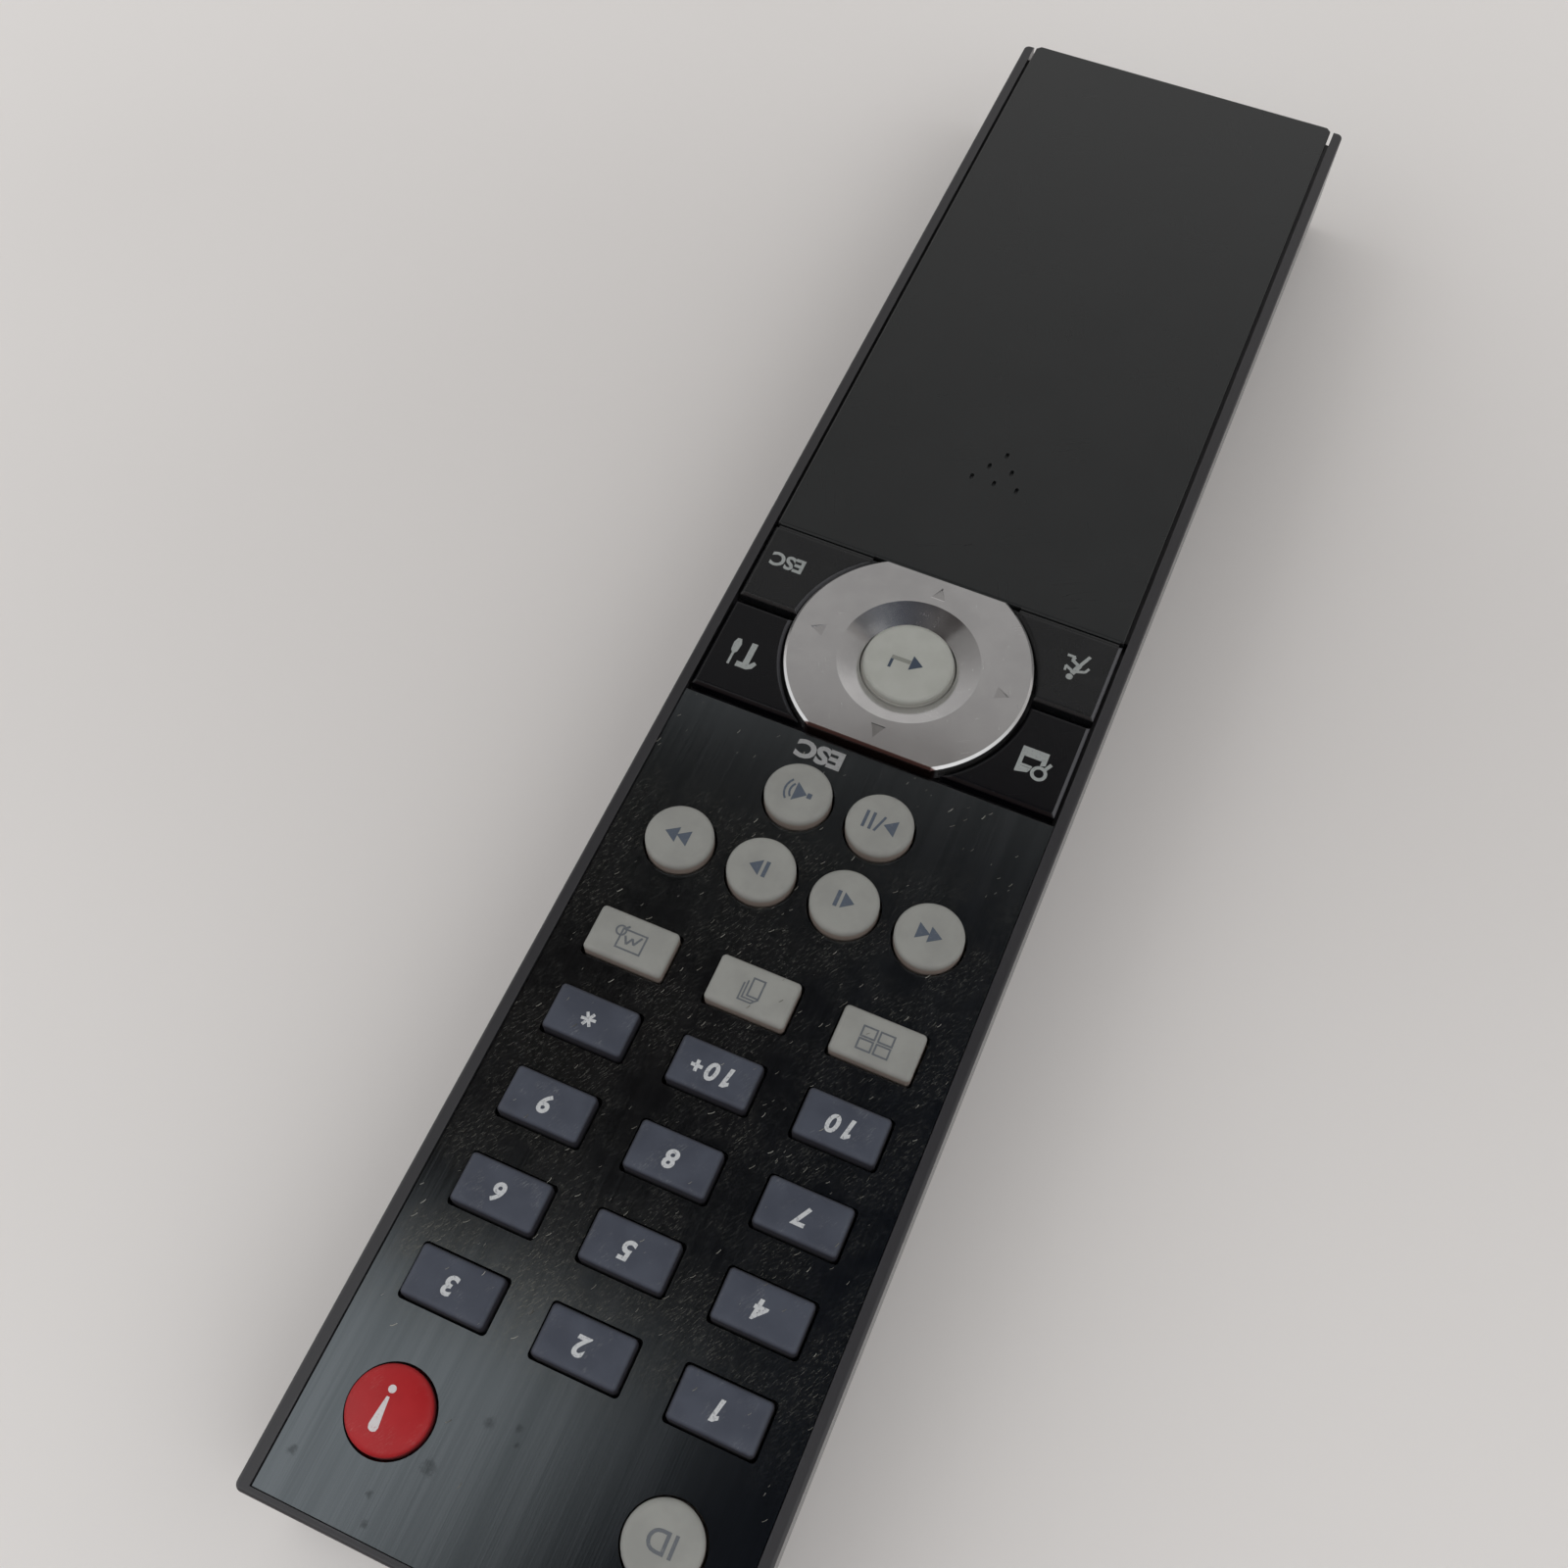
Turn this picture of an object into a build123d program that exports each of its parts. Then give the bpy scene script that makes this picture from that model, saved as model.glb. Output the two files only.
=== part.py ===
from build123d import *
import os

os.makedirs("parts", exist_ok=True)

# Millimetres, +Z up. The origin is on the table, under the middle of the casing.
# +Y runs to the end with the infrared window, and X runs across.

# Casing
length = 220.0
width = 49.0
rim_height = 17.0           # table to the top of the side rims
rim = 1.4                   # side walls and side rims
front_rim = 0.8             # the rim at the window end, above the face plate's seat
end_wall = 1.6              # front wall and tail wall
floor_thickness = 1.8
belly_radius = 3.2          # rounding of the two long bottom edges
end_radius = 0.8            # rounding round each end
rim_edge = 0.4              # softened outer edge of the rims
seam_height = 8.8           # where the upper and lower casings meet
seam_groove = 0.3           # shadow line round the seam, wide and deep

# Plates on top
plate_thickness = 0.8
plate_drop = 0.35           # face plate below the rims
plate_gap = 0.1             # face plate to the rims
deck_thickness = 1.5        # deck under the face plate
low_deck_thickness = 0.8    # deck under the direction ring
tail_deck_thickness = 1.0
tail_deck_drop = 3.4        # its top below the rims

# Cover over the tail half
cover_thickness = 1.3
cover_rise = 0.4            # cover and corner keys above the rims
cover_gap = 0.45            # cover and corner keys to the rims
cover_edge = 0.3            # softened top edges
cover_corner = 0.6          # cut-off tail corners
lip_thickness = 1.4         # the cover's turned-down end at the tail
slide_gap = 0.3             # cover to its runners, on every side
runner_width = 1.4
runner_thickness = 0.7
hook_length = 9.0
hook_thickness = 0.8
hook_count = 3              # on each side
dimple_width = 0.45
dimple_length = 1.0
dimple_depth = 0.35
dimple_pitch = 3.0          # across
dimple_row_pitch = 2.45     # along
dimple_rows = 3
dimple_start = 16.5         # first row behind the cover's near edge

# Key rows, as steps from the window end towards the tail
alarm_row_step = 11.8
digit_row_step = 12.5
digit_pitch = 10.0
digit_rows = 4
menu_row_step = 9.8
shuttle_row_step = 13.45
play_row_step = 10.35
ring_step = 21.5
column_margin = 10.1        # outer columns of keys to the casing's side
shuttle_pitch = 10.0

# Keys
digit_key_width = 9.25
digit_key_length = 5.4
digit_key_rise = 1.3        # above the face plate
digit_key_edge = 0.55
menu_key_width = 9.3
menu_key_length = 5.5
menu_key_rise = 1.4
menu_key_edge = 0.45
key_corner = 0.5
round_key_radius = 3.9
round_key_rise = 1.6
round_key_edge = 0.5
alarm_key_radius = 4.25
alarm_key_rise = 1.2
alarm_key_dome = 0.5
key_gap = 0.3               # key to the side of its hole
flange_width = 0.85         # how far a key's flange reaches past its body
round_flange_width = 0.7
flange_thickness = 0.7
flange_gap = 0.2            # flange to the deck above it
plunger_radius = 2.0
plunger_entry = 0.1         # plunger tip below the top of the mat
key_travel = 0.8

# Corner keys
corner_key_thickness = 1.8
corner_key_travel = 0.6
travel_spare = 0.2          # left under a corner key that is pressed home
corner_key_bevel = 0.4
corner_key_top_gap = 0.8    # to the face plate
corner_key_mid_gap = 1.0    # between the upper and the lower pair
corner_key_mid_line = -0.95 # middle of that gap, from the ring's centre
corner_key_end_gap = 0.4    # to the cover
neck_width = 5.0
neck_length = 7.0
neck_edge = 1.45            # neck to the key's outer side

# Direction ring, its rocker plate and the enter key
ring_radius = 14.85
ring_flat = 12.7            # centre to each flat
ring_rise = 1.5             # above the face plate
ring_thickness = 2.25
ring_bevel = 0.3
ring_side_gap = 0.4         # ring to the corner keys
ring_plate_gap = 0.5        # ring's flat to the face plate
ring_cover_gap = 0.35       # ring's flat to the cover
dish_radius = 8.6
dish_depth = 1.25
enter_radius = 5.4
enter_gap = 0.4             # enter key to the ring
enter_rise = 1.05           # rim of the enter key's top above the face plate
enter_dome = 0.35
enter_flange_width = 0.9
enter_flange_gap = 0.5      # flange to the rocker plate above it
enter_flange_thickness = 0.6
enter_travel = 0.6
mark_size = 1.8             # engraved triangles
mark_depth = 0.35           # at the point; the base is flush with the ring's top
mark_radius_along = 10.5
mark_radius_across = 11.8
ring_neck_radius = 10.3
ring_neck_length = 2.0
ring_neck_wall = 2.7
neck_hole_gap = 0.6         # ring's neck to the hole in the deck
rocker_gap = 0.7            # ring's neck to the rocker plate
rocker_radius = 12.2
rocker_thickness = 0.6
rocker_bore_gap = 0.5       # enter key to the rocker plate
collar_wall = 1.2
collar_height = 2.2
foot_radius = 1.5
foot_height = 1.1
foot_circle = 9.5

# Board stack, hung from the rims
mat_drop = 5.2              # top of the mat below the rims
board_thickness = 1.6
board_gap = 1.6             # board and mat to the side walls
mat_thickness = 1.4
pocket_spare = 0.1          # left under a plunger that is pressed home
pocket_gap = 0.5            # plunger to the side of its pocket
board_bay_gap = 4.2         # board to the battery bay
board_front_gap = 2.0

# Parts on the board
led_radius = 1.5
led_collar = 0.4
led_collar_length = 0.8
led_length = 5.3
led_spacing = 11.0
led_drop = 0.3              # emitter's collar below the board
led_window_gap = 0.3
window_half_width = 9.0
window_sill = 3.0
window_recess = 0.2
window_gap = 0.1
window_flange = 1.2
window_flange_thickness = 0.8
chip_width = 7.5
chip_length = 17.9
chip_thickness = 2.3
chip_step = 60.0            # behind the window end
resonator_width = 7.0
resonator_length = 3.0
resonator_thickness = 3.5
resonator_step = 45.0
capacitor_radius = 2.5
capacitor_length = 11.0
capacitor_step = 92.0

# Battery bay
cell_radius = 5.25
cell_length = 43.5
nub_radius = 2.75
nub_length = 1.0
cell_edge = 0.4
cell_pitch = 11.8
cell_gap = 0.3              # cell to its trough
cell_cover_gap = 0.5        # cell to the cover
bay_wall = 1.2
spring_wire = 0.35          # wire radius
spring_radius = 3.1
spring_turns = 4
spring_length = 6.3
contact_thickness = 0.4
contact_radius = 4.3
strap_height = 3.2          # strap that joins the rear bridge's two faces
contact_gap = 0.15          # cell's nub to its contact
tab_width = 2.4
tab_reach = 2.6             # contact's tab onto the board
tab_slot_gap = 0.2

# Screws
screw_radius = 1.1
screw_head_radius = 2.0
screw_head_height = 1.3
screw_length = 7.5
screw_slot_width = 0.6
screw_slot_depth = 0.65
screw_gap = 0.05            # shank in its pilot hole
shank_gap = 0.15            # shank in the lower casing
well_gap = 0.3
well_depth = 3.0
well_wall = 1.2
boss_radius = 2.4
boss_joint = 5.2            # where the two casings' bosses meet
front_boss_x = 7.2
front_boss_step = 17.5
tail_boss_x = 17.5
tail_boss_step = 12.0
post_radius = 1.5

# Worked out heights
deck_top = rim_height - plate_drop - plate_thickness
deck_bottom = deck_top - deck_thickness
plate_top = rim_height - plate_drop
cover_top = rim_height + cover_rise
cover_bottom = cover_top - cover_thickness
low_deck_top = cover_top - corner_key_thickness - corner_key_travel - travel_spare
low_deck_bottom = low_deck_top - low_deck_thickness
tail_deck_top = rim_height - tail_deck_drop
tail_deck_bottom = tail_deck_top - tail_deck_thickness
mat_top = rim_height - mat_drop
board_top = mat_top - mat_thickness
board_height = board_top - board_thickness
plunger_tip = mat_top - plunger_entry
pocket_floor = plunger_tip - key_travel - pocket_spare
runner_top = cover_bottom - slide_gap
runner_bottom = runner_top - runner_thickness
hook_top = runner_bottom - slide_gap
hook_bottom = hook_top - hook_thickness
cell_height = cover_bottom - cell_cover_gap - cell_radius
led_height = board_height - led_drop - led_collar - led_radius

# Worked out widths and lengths
half_width = width / 2
inner_half = half_width - rim
column_pitch = half_width - column_margin
cover_half = inner_half - cover_gap
front = length / 2
tail = -length / 2
alarm_row = front - alarm_row_step
digit_row = alarm_row - digit_row_step
last_digit_row = digit_row - (digit_rows - 1) * digit_pitch
menu_row = last_digit_row - menu_row_step
shuttle_row = menu_row - shuttle_row_step
play_row = shuttle_row - play_row_step
ring_y = play_row - ring_step
plate_back = ring_y + ring_flat + ring_plate_gap
plate_front = front - front_rim - plate_gap
cover_front = ring_y - ring_flat - ring_cover_gap
low_deck_back = cover_front - bay_wall
lip_inner = tail + lip_thickness
tail_wall_outer = lip_inner + slide_gap
tail_wall_inner = tail_wall_outer + end_wall
bay_length = contact_thickness * 2 + contact_gap + nub_length + cell_length + spring_length
bay_front = (low_deck_back + tail_wall_inner + bay_length) / 2
bay_back = bay_front - bay_length
bay_half = cell_pitch / 2 + cell_radius + cell_gap
board_half = inner_half - board_gap
board_back = bay_front + bay_wall + board_bay_gap
board_front = front - end_wall - board_front_gap
runner_inner = inner_half - runner_width
bosses = [(side * front_boss_x, front - front_boss_step) for side in (-1, 1)]
tail_bosses = [(side * tail_boss_x, tail + tail_boss_step) for side in (-1, 1)]


def slab(x0, x1, y0, y1, z0, z1):
    """A block between two corners."""
    return Pos((x0 + x1) / 2, (y0 + y1) / 2, (z0 + z1) / 2) * Box(x1 - x0, y1 - y0, z1 - z0)


def across(half, y0, y1, z0, z1):
    """A block centred across the remote."""
    return slab(-half, half, y0, y1, z0, z1)


def rod(x, y, radius, z0, z1):
    """An upright round bar."""
    return Pos(x, y, (z0 + z1) / 2) * Cylinder(radius, z1 - z0)


def lying_rod(x, z, radius, y0, y1):
    """A round bar along the remote."""
    return Pos(x, (y0 + y1) / 2, z) * Rot(90, 0, 0) * Cylinder(radius, y1 - y0)


def save(name, shape):
    """Writes one node."""
    shape.label = name
    export_step(shape, f"parts/{name}.step")


def block_key_body(x, y, key_width, key_length, top, edge):
    """A rectangular key's body with soft top edges."""
    outline = RectangleRounded(key_width, key_length, key_corner)
    base = deck_bottom - flange_gap - flange_thickness
    body = Pos(x, y, base) * extrude(outline, top - base)
    return fillet(body.faces().sort_by(Axis.Z)[-1].edges(), edge)


def round_key_body(x, y, radius, top, edge):
    """A round key's body with a soft top edge."""
    base = deck_bottom - flange_gap - flange_thickness
    body = rod(x, y, radius, base, top)
    return fillet(body.faces().sort_by(Axis.Z)[-1].edges(), edge)


def plunger(x, y, base):
    """The stub under a key that presses the mat."""
    return rod(x, y, plunger_radius, plunger_tip, base)


def block_key(x, y, key_width, key_length, rise, edge):
    """A rectangular key with its flange and plunger."""
    flange_top = deck_bottom - flange_gap
    base = flange_top - flange_thickness
    reach_x = key_width / 2 + flange_width
    reach_y = key_length / 2 + flange_width
    flange = slab(x - reach_x, x + reach_x, y - reach_y, y + reach_y, base, flange_top)
    body = block_key_body(x, y, key_width, key_length, plate_top + rise, edge)
    return body + flange + plunger(x, y, base)


def round_key(x, y, radius, rise, edge, dome=0.0):
    """A round key with its flange and plunger, and a domed top where dome is above 0."""
    flange_top = deck_bottom - flange_gap
    base = flange_top - flange_thickness
    key = round_key_body(x, y, radius, plate_top + rise, edge)
    if dome:
        key += domed_cap(x, y, radius - edge, plate_top + rise, dome)
    flange = rod(x, y, radius + round_flange_width, base, flange_top)
    return key + flange + plunger(x, y, base)


def domed_cap(x, y, radius, z, height):
    """A shallow slice of a ball that crowns a round key."""
    ball_radius = (radius ** 2 + height ** 2) / (2 * height)
    ball = Pos(x, y, z + height - ball_radius) * Sphere(ball_radius)
    return ball & rod(x, y, radius, z, z + 2 * height)


def key_columns():
    """The three columns of rectangular keys, as the user reads them."""
    return [-column_pitch, 0.0, column_pitch]


digit_names = ["1", "2", "3", "4", "5", "6", "7", "8", "9", "10", "10_plus", "star"]
digit_places = {
    f"key_{name}": (key_columns()[index % 3], digit_row - (index // 3) * digit_pitch)
    for index, name in enumerate(digit_names)
}
menu_names = ["split_view_key", "page_key", "picture_search_key"]
menu_places = {name: (x, menu_row) for name, x in zip(menu_names, key_columns())}
shuttle_names = ["rewind_key", "step_back_key", "step_forward_key", "fast_forward_key"]
round_places = {
    name: ((index - 1.5) * shuttle_pitch, shuttle_row)
    for index, name in enumerate(shuttle_names)
}
round_places["play_pause_key"] = (-shuttle_pitch / 2, play_row)
round_places["sound_key"] = (shuttle_pitch / 2, play_row)
round_places["id_key"] = (-column_pitch, alarm_row)
alarm_place = (column_pitch, alarm_row)

# Corner keys: side of the remote, and near and far ends along it
upper_key_ends = (ring_y + corner_key_mid_line + corner_key_mid_gap / 2, plate_back - corner_key_top_gap)
lower_key_ends = (cover_front + corner_key_end_gap, ring_y + corner_key_mid_line - corner_key_mid_gap / 2)
corner_places = {
    "screen_search_key": (-1, upper_key_ends),
    "tools_key": (1, upper_key_ends),
    "motion_key": (-1, lower_key_ends),
    "escape_key": (1, lower_key_ends),
}
neck_middle = cover_half - neck_edge - neck_width / 2


def plunger_places():
    """Where plungers of the plain radius meet the mat."""
    places = list(digit_places.values()) + list(menu_places.values())
    places += list(round_places.values()) + [alarm_place]
    places += [(side * neck_middle, sum(ends) / 2) for side, ends in corner_places.values()]
    return places


def foot_places():
    """The rocker plate's four feet."""
    return [
        (foot_circle, ring_y),
        (-foot_circle, ring_y),
        (0.0, ring_y + foot_circle),
        (0.0, ring_y - foot_circle),
    ]


def key_holes(z0, z1):
    """The holes that the face plate and the deck share."""
    holes = []
    for x, y in digit_places.values():
        outline = RectangleRounded(digit_key_width + 2 * key_gap, digit_key_length + 2 * key_gap, key_corner)
        holes.append(Pos(x, y, z0) * extrude(outline, z1 - z0))
    for x, y in menu_places.values():
        outline = RectangleRounded(menu_key_width + 2 * key_gap, menu_key_length + 2 * key_gap, key_corner)
        holes.append(Pos(x, y, z0) * extrude(outline, z1 - z0))
    for x, y in round_places.values():
        holes.append(rod(x, y, round_key_radius + key_gap, z0, z1))
    holes.append(rod(*alarm_place, alarm_key_radius + key_gap, z0, z1))
    return holes


def casing_block():
    """The outside of both casings as one solid."""
    outline = Rectangle(width, rim_height)
    low_corners = outline.vertices().sort_by(Axis.Y)[:2]
    outline = fillet(low_corners, belly_radius)
    block = extrude(Plane.XZ * outline, length / 2, both=True)
    block = Pos(0, 0, rim_height / 2) * block
    ends = block.faces().filter_by(Axis.Y)
    edges = [e for face in ends for e in face.edges() if e.center().Z < rim_height - end_radius / 2]
    block = fillet(edges, end_radius)
    return fillet(block.faces().sort_by(Axis.Z)[-1].edges(), rim_edge)


def lower_casing():
    """Floor, lower walls, screw wells and board posts."""
    case = casing_block() & across(half_width, tail, front, 0, seam_height)
    hollow = across(inner_half, tail + end_wall, front - end_wall, floor_thickness, seam_height)
    long_edges = hollow.edges().filter_by(Axis.Y).sort_by(Axis.Z)[:2]
    case -= fillet(long_edges, belly_radius - rim)
    # shadow line round the seam
    band = across(half_width, tail, front, seam_height - seam_groove, seam_height)
    core = across(
        half_width - seam_groove, tail + seam_groove, front - seam_groove,
        seam_height - seam_groove, seam_height,
    )
    case -= band - core
    # notch for the infrared window
    case -= across(window_half_width, front - end_wall, front, window_sill, seam_height)
    for x, y in bosses + tail_bosses:
        case += rod(x, y, screw_head_radius + well_gap + well_wall, floor_thickness, boss_joint)
        case -= rod(x, y, screw_head_radius + well_gap, 0, well_depth)
        case -= rod(x, y, screw_radius + shank_gap, well_depth, boss_joint)
    for x, y in post_places():
        case += rod(x, y, post_radius, floor_thickness, board_height)
    return case


def post_places():
    """Posts that carry the board, along both sides."""
    reach = board_half - 2 * post_radius
    rows = [digit_row + digit_pitch / 2, menu_row, ring_y + ring_flat, board_back + 2 * post_radius]
    return [(side * reach, y) for y in rows for side in (-1, 1)]


def battery_bay():
    """The basin for the cells, with a trough for each."""
    z0 = cell_height - cell_radius - cell_gap - bay_wall
    basin = across(bay_half + bay_wall, bay_back - bay_wall, bay_front + bay_wall, z0, tail_deck_top)
    basin -= bay_space()
    return basin


def bay_space():
    """The room in the basin, open at the top."""
    space = across(bay_half, bay_back, bay_front, cell_height, rim_height)
    for side in (-1, 1):
        x = side * cell_pitch / 2
        space += lying_rod(x, cell_height, cell_radius + cell_gap, bay_back, bay_front)
    return space


def tab_slots():
    """Slots in the bay's front wall for the contacts' tabs."""
    half = tab_width / 2 + tab_slot_gap
    slots = []
    for side in (-1, 1):
        x = side * cell_pitch / 2
        slots.append(slab(
            x - half, x + half, bay_front, bay_front + bay_wall,
            board_top, board_top + contact_thickness + tab_slot_gap,
        ))
    return slots


def upper_casing():
    """Rims, decks, runners for the cover, the battery bay and the screw bosses."""
    case = casing_block() & across(half_width, tail, front, seam_height, rim_height)
    case -= across(inner_half, tail_wall_inner, front - end_wall, seam_height, rim_height)
    case -= across(inner_half, tail, tail_wall_inner, seam_height + floor_thickness, rim_height)
    case -= across(inner_half, front - end_wall, front - front_rim, deck_top, rim_height)
    case += across(inner_half, tail_wall_outer, tail_wall_inner, seam_height, hook_bottom - slide_gap)
    case += across(inner_half, plate_back, front - end_wall, deck_bottom, deck_top)
    case += across(inner_half, low_deck_back, plate_back, low_deck_bottom, low_deck_top)
    case += across(inner_half, low_deck_back, low_deck_back + bay_wall, tail_deck_bottom, low_deck_top)
    case += across(inner_half, tail_wall_outer, low_deck_back, tail_deck_bottom, tail_deck_top)
    for side in (-1, 1):
        inner, outer = sorted((side * runner_inner, side * inner_half))
        case += slab(inner, outer, tail_wall_outer, low_deck_back, runner_bottom, runner_top)
    case -= across(bay_half, bay_back, bay_front, tail_deck_bottom, tail_deck_top)
    case += battery_bay()
    for slot in tab_slots():
        case -= slot
    for hole in key_holes(deck_bottom, deck_top):
        case -= hole
    case -= rod(0, ring_y, ring_neck_radius + neck_hole_gap, low_deck_bottom, low_deck_top)
    for side, ends in corner_places.values():
        x = side * neck_middle
        y = sum(ends) / 2
        half_x = neck_width / 2 + key_gap
        half_y = neck_length / 2 + key_gap
        case -= slab(x - half_x, x + half_x, y - half_y, y + half_y, low_deck_bottom, low_deck_top)
    for places, under in ((bosses, deck_bottom), (tail_bosses, tail_deck_bottom)):
        for x, y in places:
            case += rod(x, y, boss_radius, boss_joint, under)
            case -= rod(x, y, screw_radius + screw_gap, boss_joint, well_depth + screw_length)
    return case


def face_plate():
    """The thin brushed plate with a hole for each key."""
    half = inner_half - plate_gap
    plate = across(half, plate_back, plate_front, deck_top, plate_top)
    for hole in key_holes(deck_top, plate_top):
        plate -= hole
    return plate


def dimple_places():
    """Six dimples in a triangle that points to the tail."""
    places = []
    for row in range(dimple_rows):
        count = dimple_rows - row
        y = cover_front - dimple_start - row * dimple_row_pitch
        places += [((index - (count - 1) / 2) * dimple_pitch, y) for index in range(count)]
    return places


def battery_cover():
    """The sliding cover with its tail lip, side hooks and dimples."""
    outline = Pos(0, (cover_front + tail) / 2) * Rectangle(2 * cover_half, cover_front - tail)
    tail_corners = outline.vertices().sort_by(Axis.Y)[:2]
    outline = chamfer(tail_corners, cover_corner)
    cover = Pos(0, 0, cover_bottom) * extrude(outline, cover_thickness)
    cover = fillet(cover.faces().sort_by(Axis.Z)[-1].edges(), cover_edge)
    lip_bottom = seam_height + floor_thickness + slide_gap
    lip = Pos(0, 0, lip_bottom) * extrude(outline, cover_bottom - lip_bottom)
    cover += lip & across(cover_half, tail, lip_inner, lip_bottom, cover_bottom)
    leg_outer = runner_inner - slide_gap
    leg_inner = leg_outer - hook_thickness
    hook_outer = cover_half
    first = cover_front - hook_length
    last = lip_inner + 2 * hook_length
    for index in range(hook_count):
        y = first + (last - first) * index / (hook_count - 1)
        for side in (-1, 1):
            x0, x1 = sorted((side * leg_inner, side * leg_outer))
            cover += slab(x0, x1, y - hook_length, y, hook_bottom, cover_bottom)
            x0, x1 = sorted((side * leg_inner, side * hook_outer))
            cover += slab(x0, x1, y - hook_length, y, hook_bottom, hook_top)
    for x, y in dimple_places():
        slot = Rot(0, 0, 90) * SlotOverall(dimple_length, dimple_width)
        cover -= Pos(x, y, cover_top - dimple_depth) * extrude(slot, dimple_depth)
    return cover


def corner_key(side, ends):
    """A glossy corner key that hugs the direction ring."""
    x0, x1 = sorted((0.0, side * cover_half))
    outline = Pos((x0 + x1) / 2, sum(ends) / 2) * Rectangle(x1 - x0, ends[1] - ends[0])
    outline -= Pos(0, ring_y) * Circle(ring_radius + ring_side_gap)
    cap_bottom = cover_top - corner_key_thickness
    cap = Pos(0, 0, cap_bottom) * extrude(outline, corner_key_thickness)
    cap = chamfer(cap.faces().sort_by(Axis.Z)[-1].edges(), corner_key_bevel)
    x = side * neck_middle
    y = sum(ends) / 2
    flange_top = low_deck_bottom - flange_gap
    base = flange_top - flange_thickness
    half_x = neck_width / 2
    half_y = neck_length / 2
    key = cap + slab(x - half_x, x + half_x, y - half_y, y + half_y, base, cap_bottom)
    half_x += flange_width
    half_y += flange_width
    key += slab(x - half_x, x + half_x, y - half_y, y + half_y, base, flange_top)
    return key + plunger(x, y, base)


def ring_mark(angle, distance):
    """An engraved triangle that points outwards and deepens towards its point."""
    half = mark_size / 2
    triangle = Polygon((0, half), (-half, -half), (half, -half), align=None)
    cut = extrude(triangle, mark_depth)
    floor = Polygon((-half, 0), (half, 0), (-half, mark_depth), align=None)
    cut -= extrude(Plane.YZ * floor, half, both=True)
    return Pos(0, ring_y, plate_top + ring_rise - mark_depth) * Rot(0, 0, angle) * Pos(0, distance, 0) * cut


def direction_ring():
    """The silver ring: flats, dish, marks and the neck that goes through the deck."""
    top = plate_top + ring_rise
    bottom = top - ring_thickness
    outline = Circle(ring_radius) & Rectangle(2 * ring_radius, 2 * ring_flat)
    ring = Pos(0, ring_y, bottom) * extrude(outline, ring_thickness)
    ring = chamfer(ring.faces().sort_by(Axis.Z)[-1].edges(), ring_bevel)
    hole = enter_radius + enter_gap
    dish = Pos(0, ring_y, top - dish_depth / 2) * Cone(hole, dish_radius, dish_depth)
    ring -= dish
    ring -= rod(0, ring_y, hole, bottom, top)
    neck = rod(0, ring_y, ring_neck_radius, bottom - ring_neck_length, bottom)
    neck -= rod(0, ring_y, ring_neck_radius - ring_neck_wall, bottom - ring_neck_length, bottom)
    ring += neck
    marks = [(0, mark_radius_along), (180, mark_radius_along)]
    marks += [(90, mark_radius_across), (-90, mark_radius_across)]
    for angle, distance in marks:
        ring -= ring_mark(angle, distance)
    return ring


def rocker_top():
    """Top of the rocker plate."""
    return plate_top + ring_rise - ring_thickness - ring_neck_length - rocker_gap


def rocker_plate():
    """The plate under the ring, with a collar and four feet."""
    top = rocker_top()
    bottom = top - rocker_thickness
    bore = enter_radius + rocker_bore_gap
    plate = rod(0, ring_y, rocker_radius, bottom, top)
    plate += rod(0, ring_y, bore + collar_wall, top, top + collar_height)
    plate -= rod(0, ring_y, bore, bottom, top + collar_height)
    for x, y in foot_places():
        plate += rod(x, y, foot_radius, bottom - foot_height, bottom)
    return plate


def enter_flange_top():
    """Top of the enter key's flange, clear of the rocker plate as it tilts."""
    return rocker_top() - rocker_thickness - enter_flange_gap


def enter_key():
    """The domed key in the middle of the ring."""
    rim_level = plate_top + enter_rise
    flange_top = enter_flange_top()
    base = flange_top - enter_flange_thickness
    key = rod(0, ring_y, enter_radius, base, rim_level)
    key += domed_cap(0, ring_y, enter_radius, rim_level, enter_dome)
    return key + rod(0, ring_y, enter_radius + enter_flange_width, base, flange_top)


def key_mat():
    """The rubber mat with a pocket under each key."""
    back = ring_y - ring_flat
    mat = across(board_half, back, board_front, board_top, mat_top)
    for x, y in plunger_places():
        mat -= rod(x, y, plunger_radius + pocket_gap, pocket_floor, mat_top)
    for x, y in foot_places():
        mat -= rod(x, y, foot_radius + pocket_gap, pocket_floor, mat_top)
    enter_floor = enter_flange_top() - enter_flange_thickness - enter_travel - pocket_spare
    mat -= rod(0, ring_y, enter_radius + enter_flange_width + pocket_gap, enter_floor, mat_top)
    for x, y in bosses:
        mat -= rod(x, y, boss_radius + key_gap, board_top, mat_top)
    return mat


def circuit_board():
    """The board under the mat, with holes for the screw bosses."""
    board = across(board_half, board_back, board_front, board_height, board_top)
    for x, y in bosses:
        board -= rod(x, y, boss_radius + key_gap, board_height, board_top)
    return board


def emitters():
    """Two infrared emitters that look out of the window."""
    back = front - end_wall - window_gap - window_flange_thickness - led_window_gap - led_length
    pair = []
    for side in (-1, 1):
        x = side * led_spacing / 2
        body = lying_rod(x, led_height, led_radius, back, back + led_length - led_radius)
        body += Pos(x, back + led_length - led_radius, led_height) * Sphere(led_radius)
        body += lying_rod(x, led_height, led_radius + led_collar, back, back + led_collar_length)
        pair.append(body)
    return Compound(children=pair)


def infrared_window():
    """The smoked window in the front wall, with a flange inside."""
    wall_inner = front - end_wall
    top = seam_height - window_gap
    half = window_half_width - window_gap
    pane = across(half, wall_inner - window_gap, front - window_recess, window_sill + window_gap, top)
    flange = across(
        half + window_flange, wall_inner - window_gap - window_flange_thickness, wall_inner - window_gap,
        window_sill - window_flange / 2, top,
    )
    return pane + flange


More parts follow.
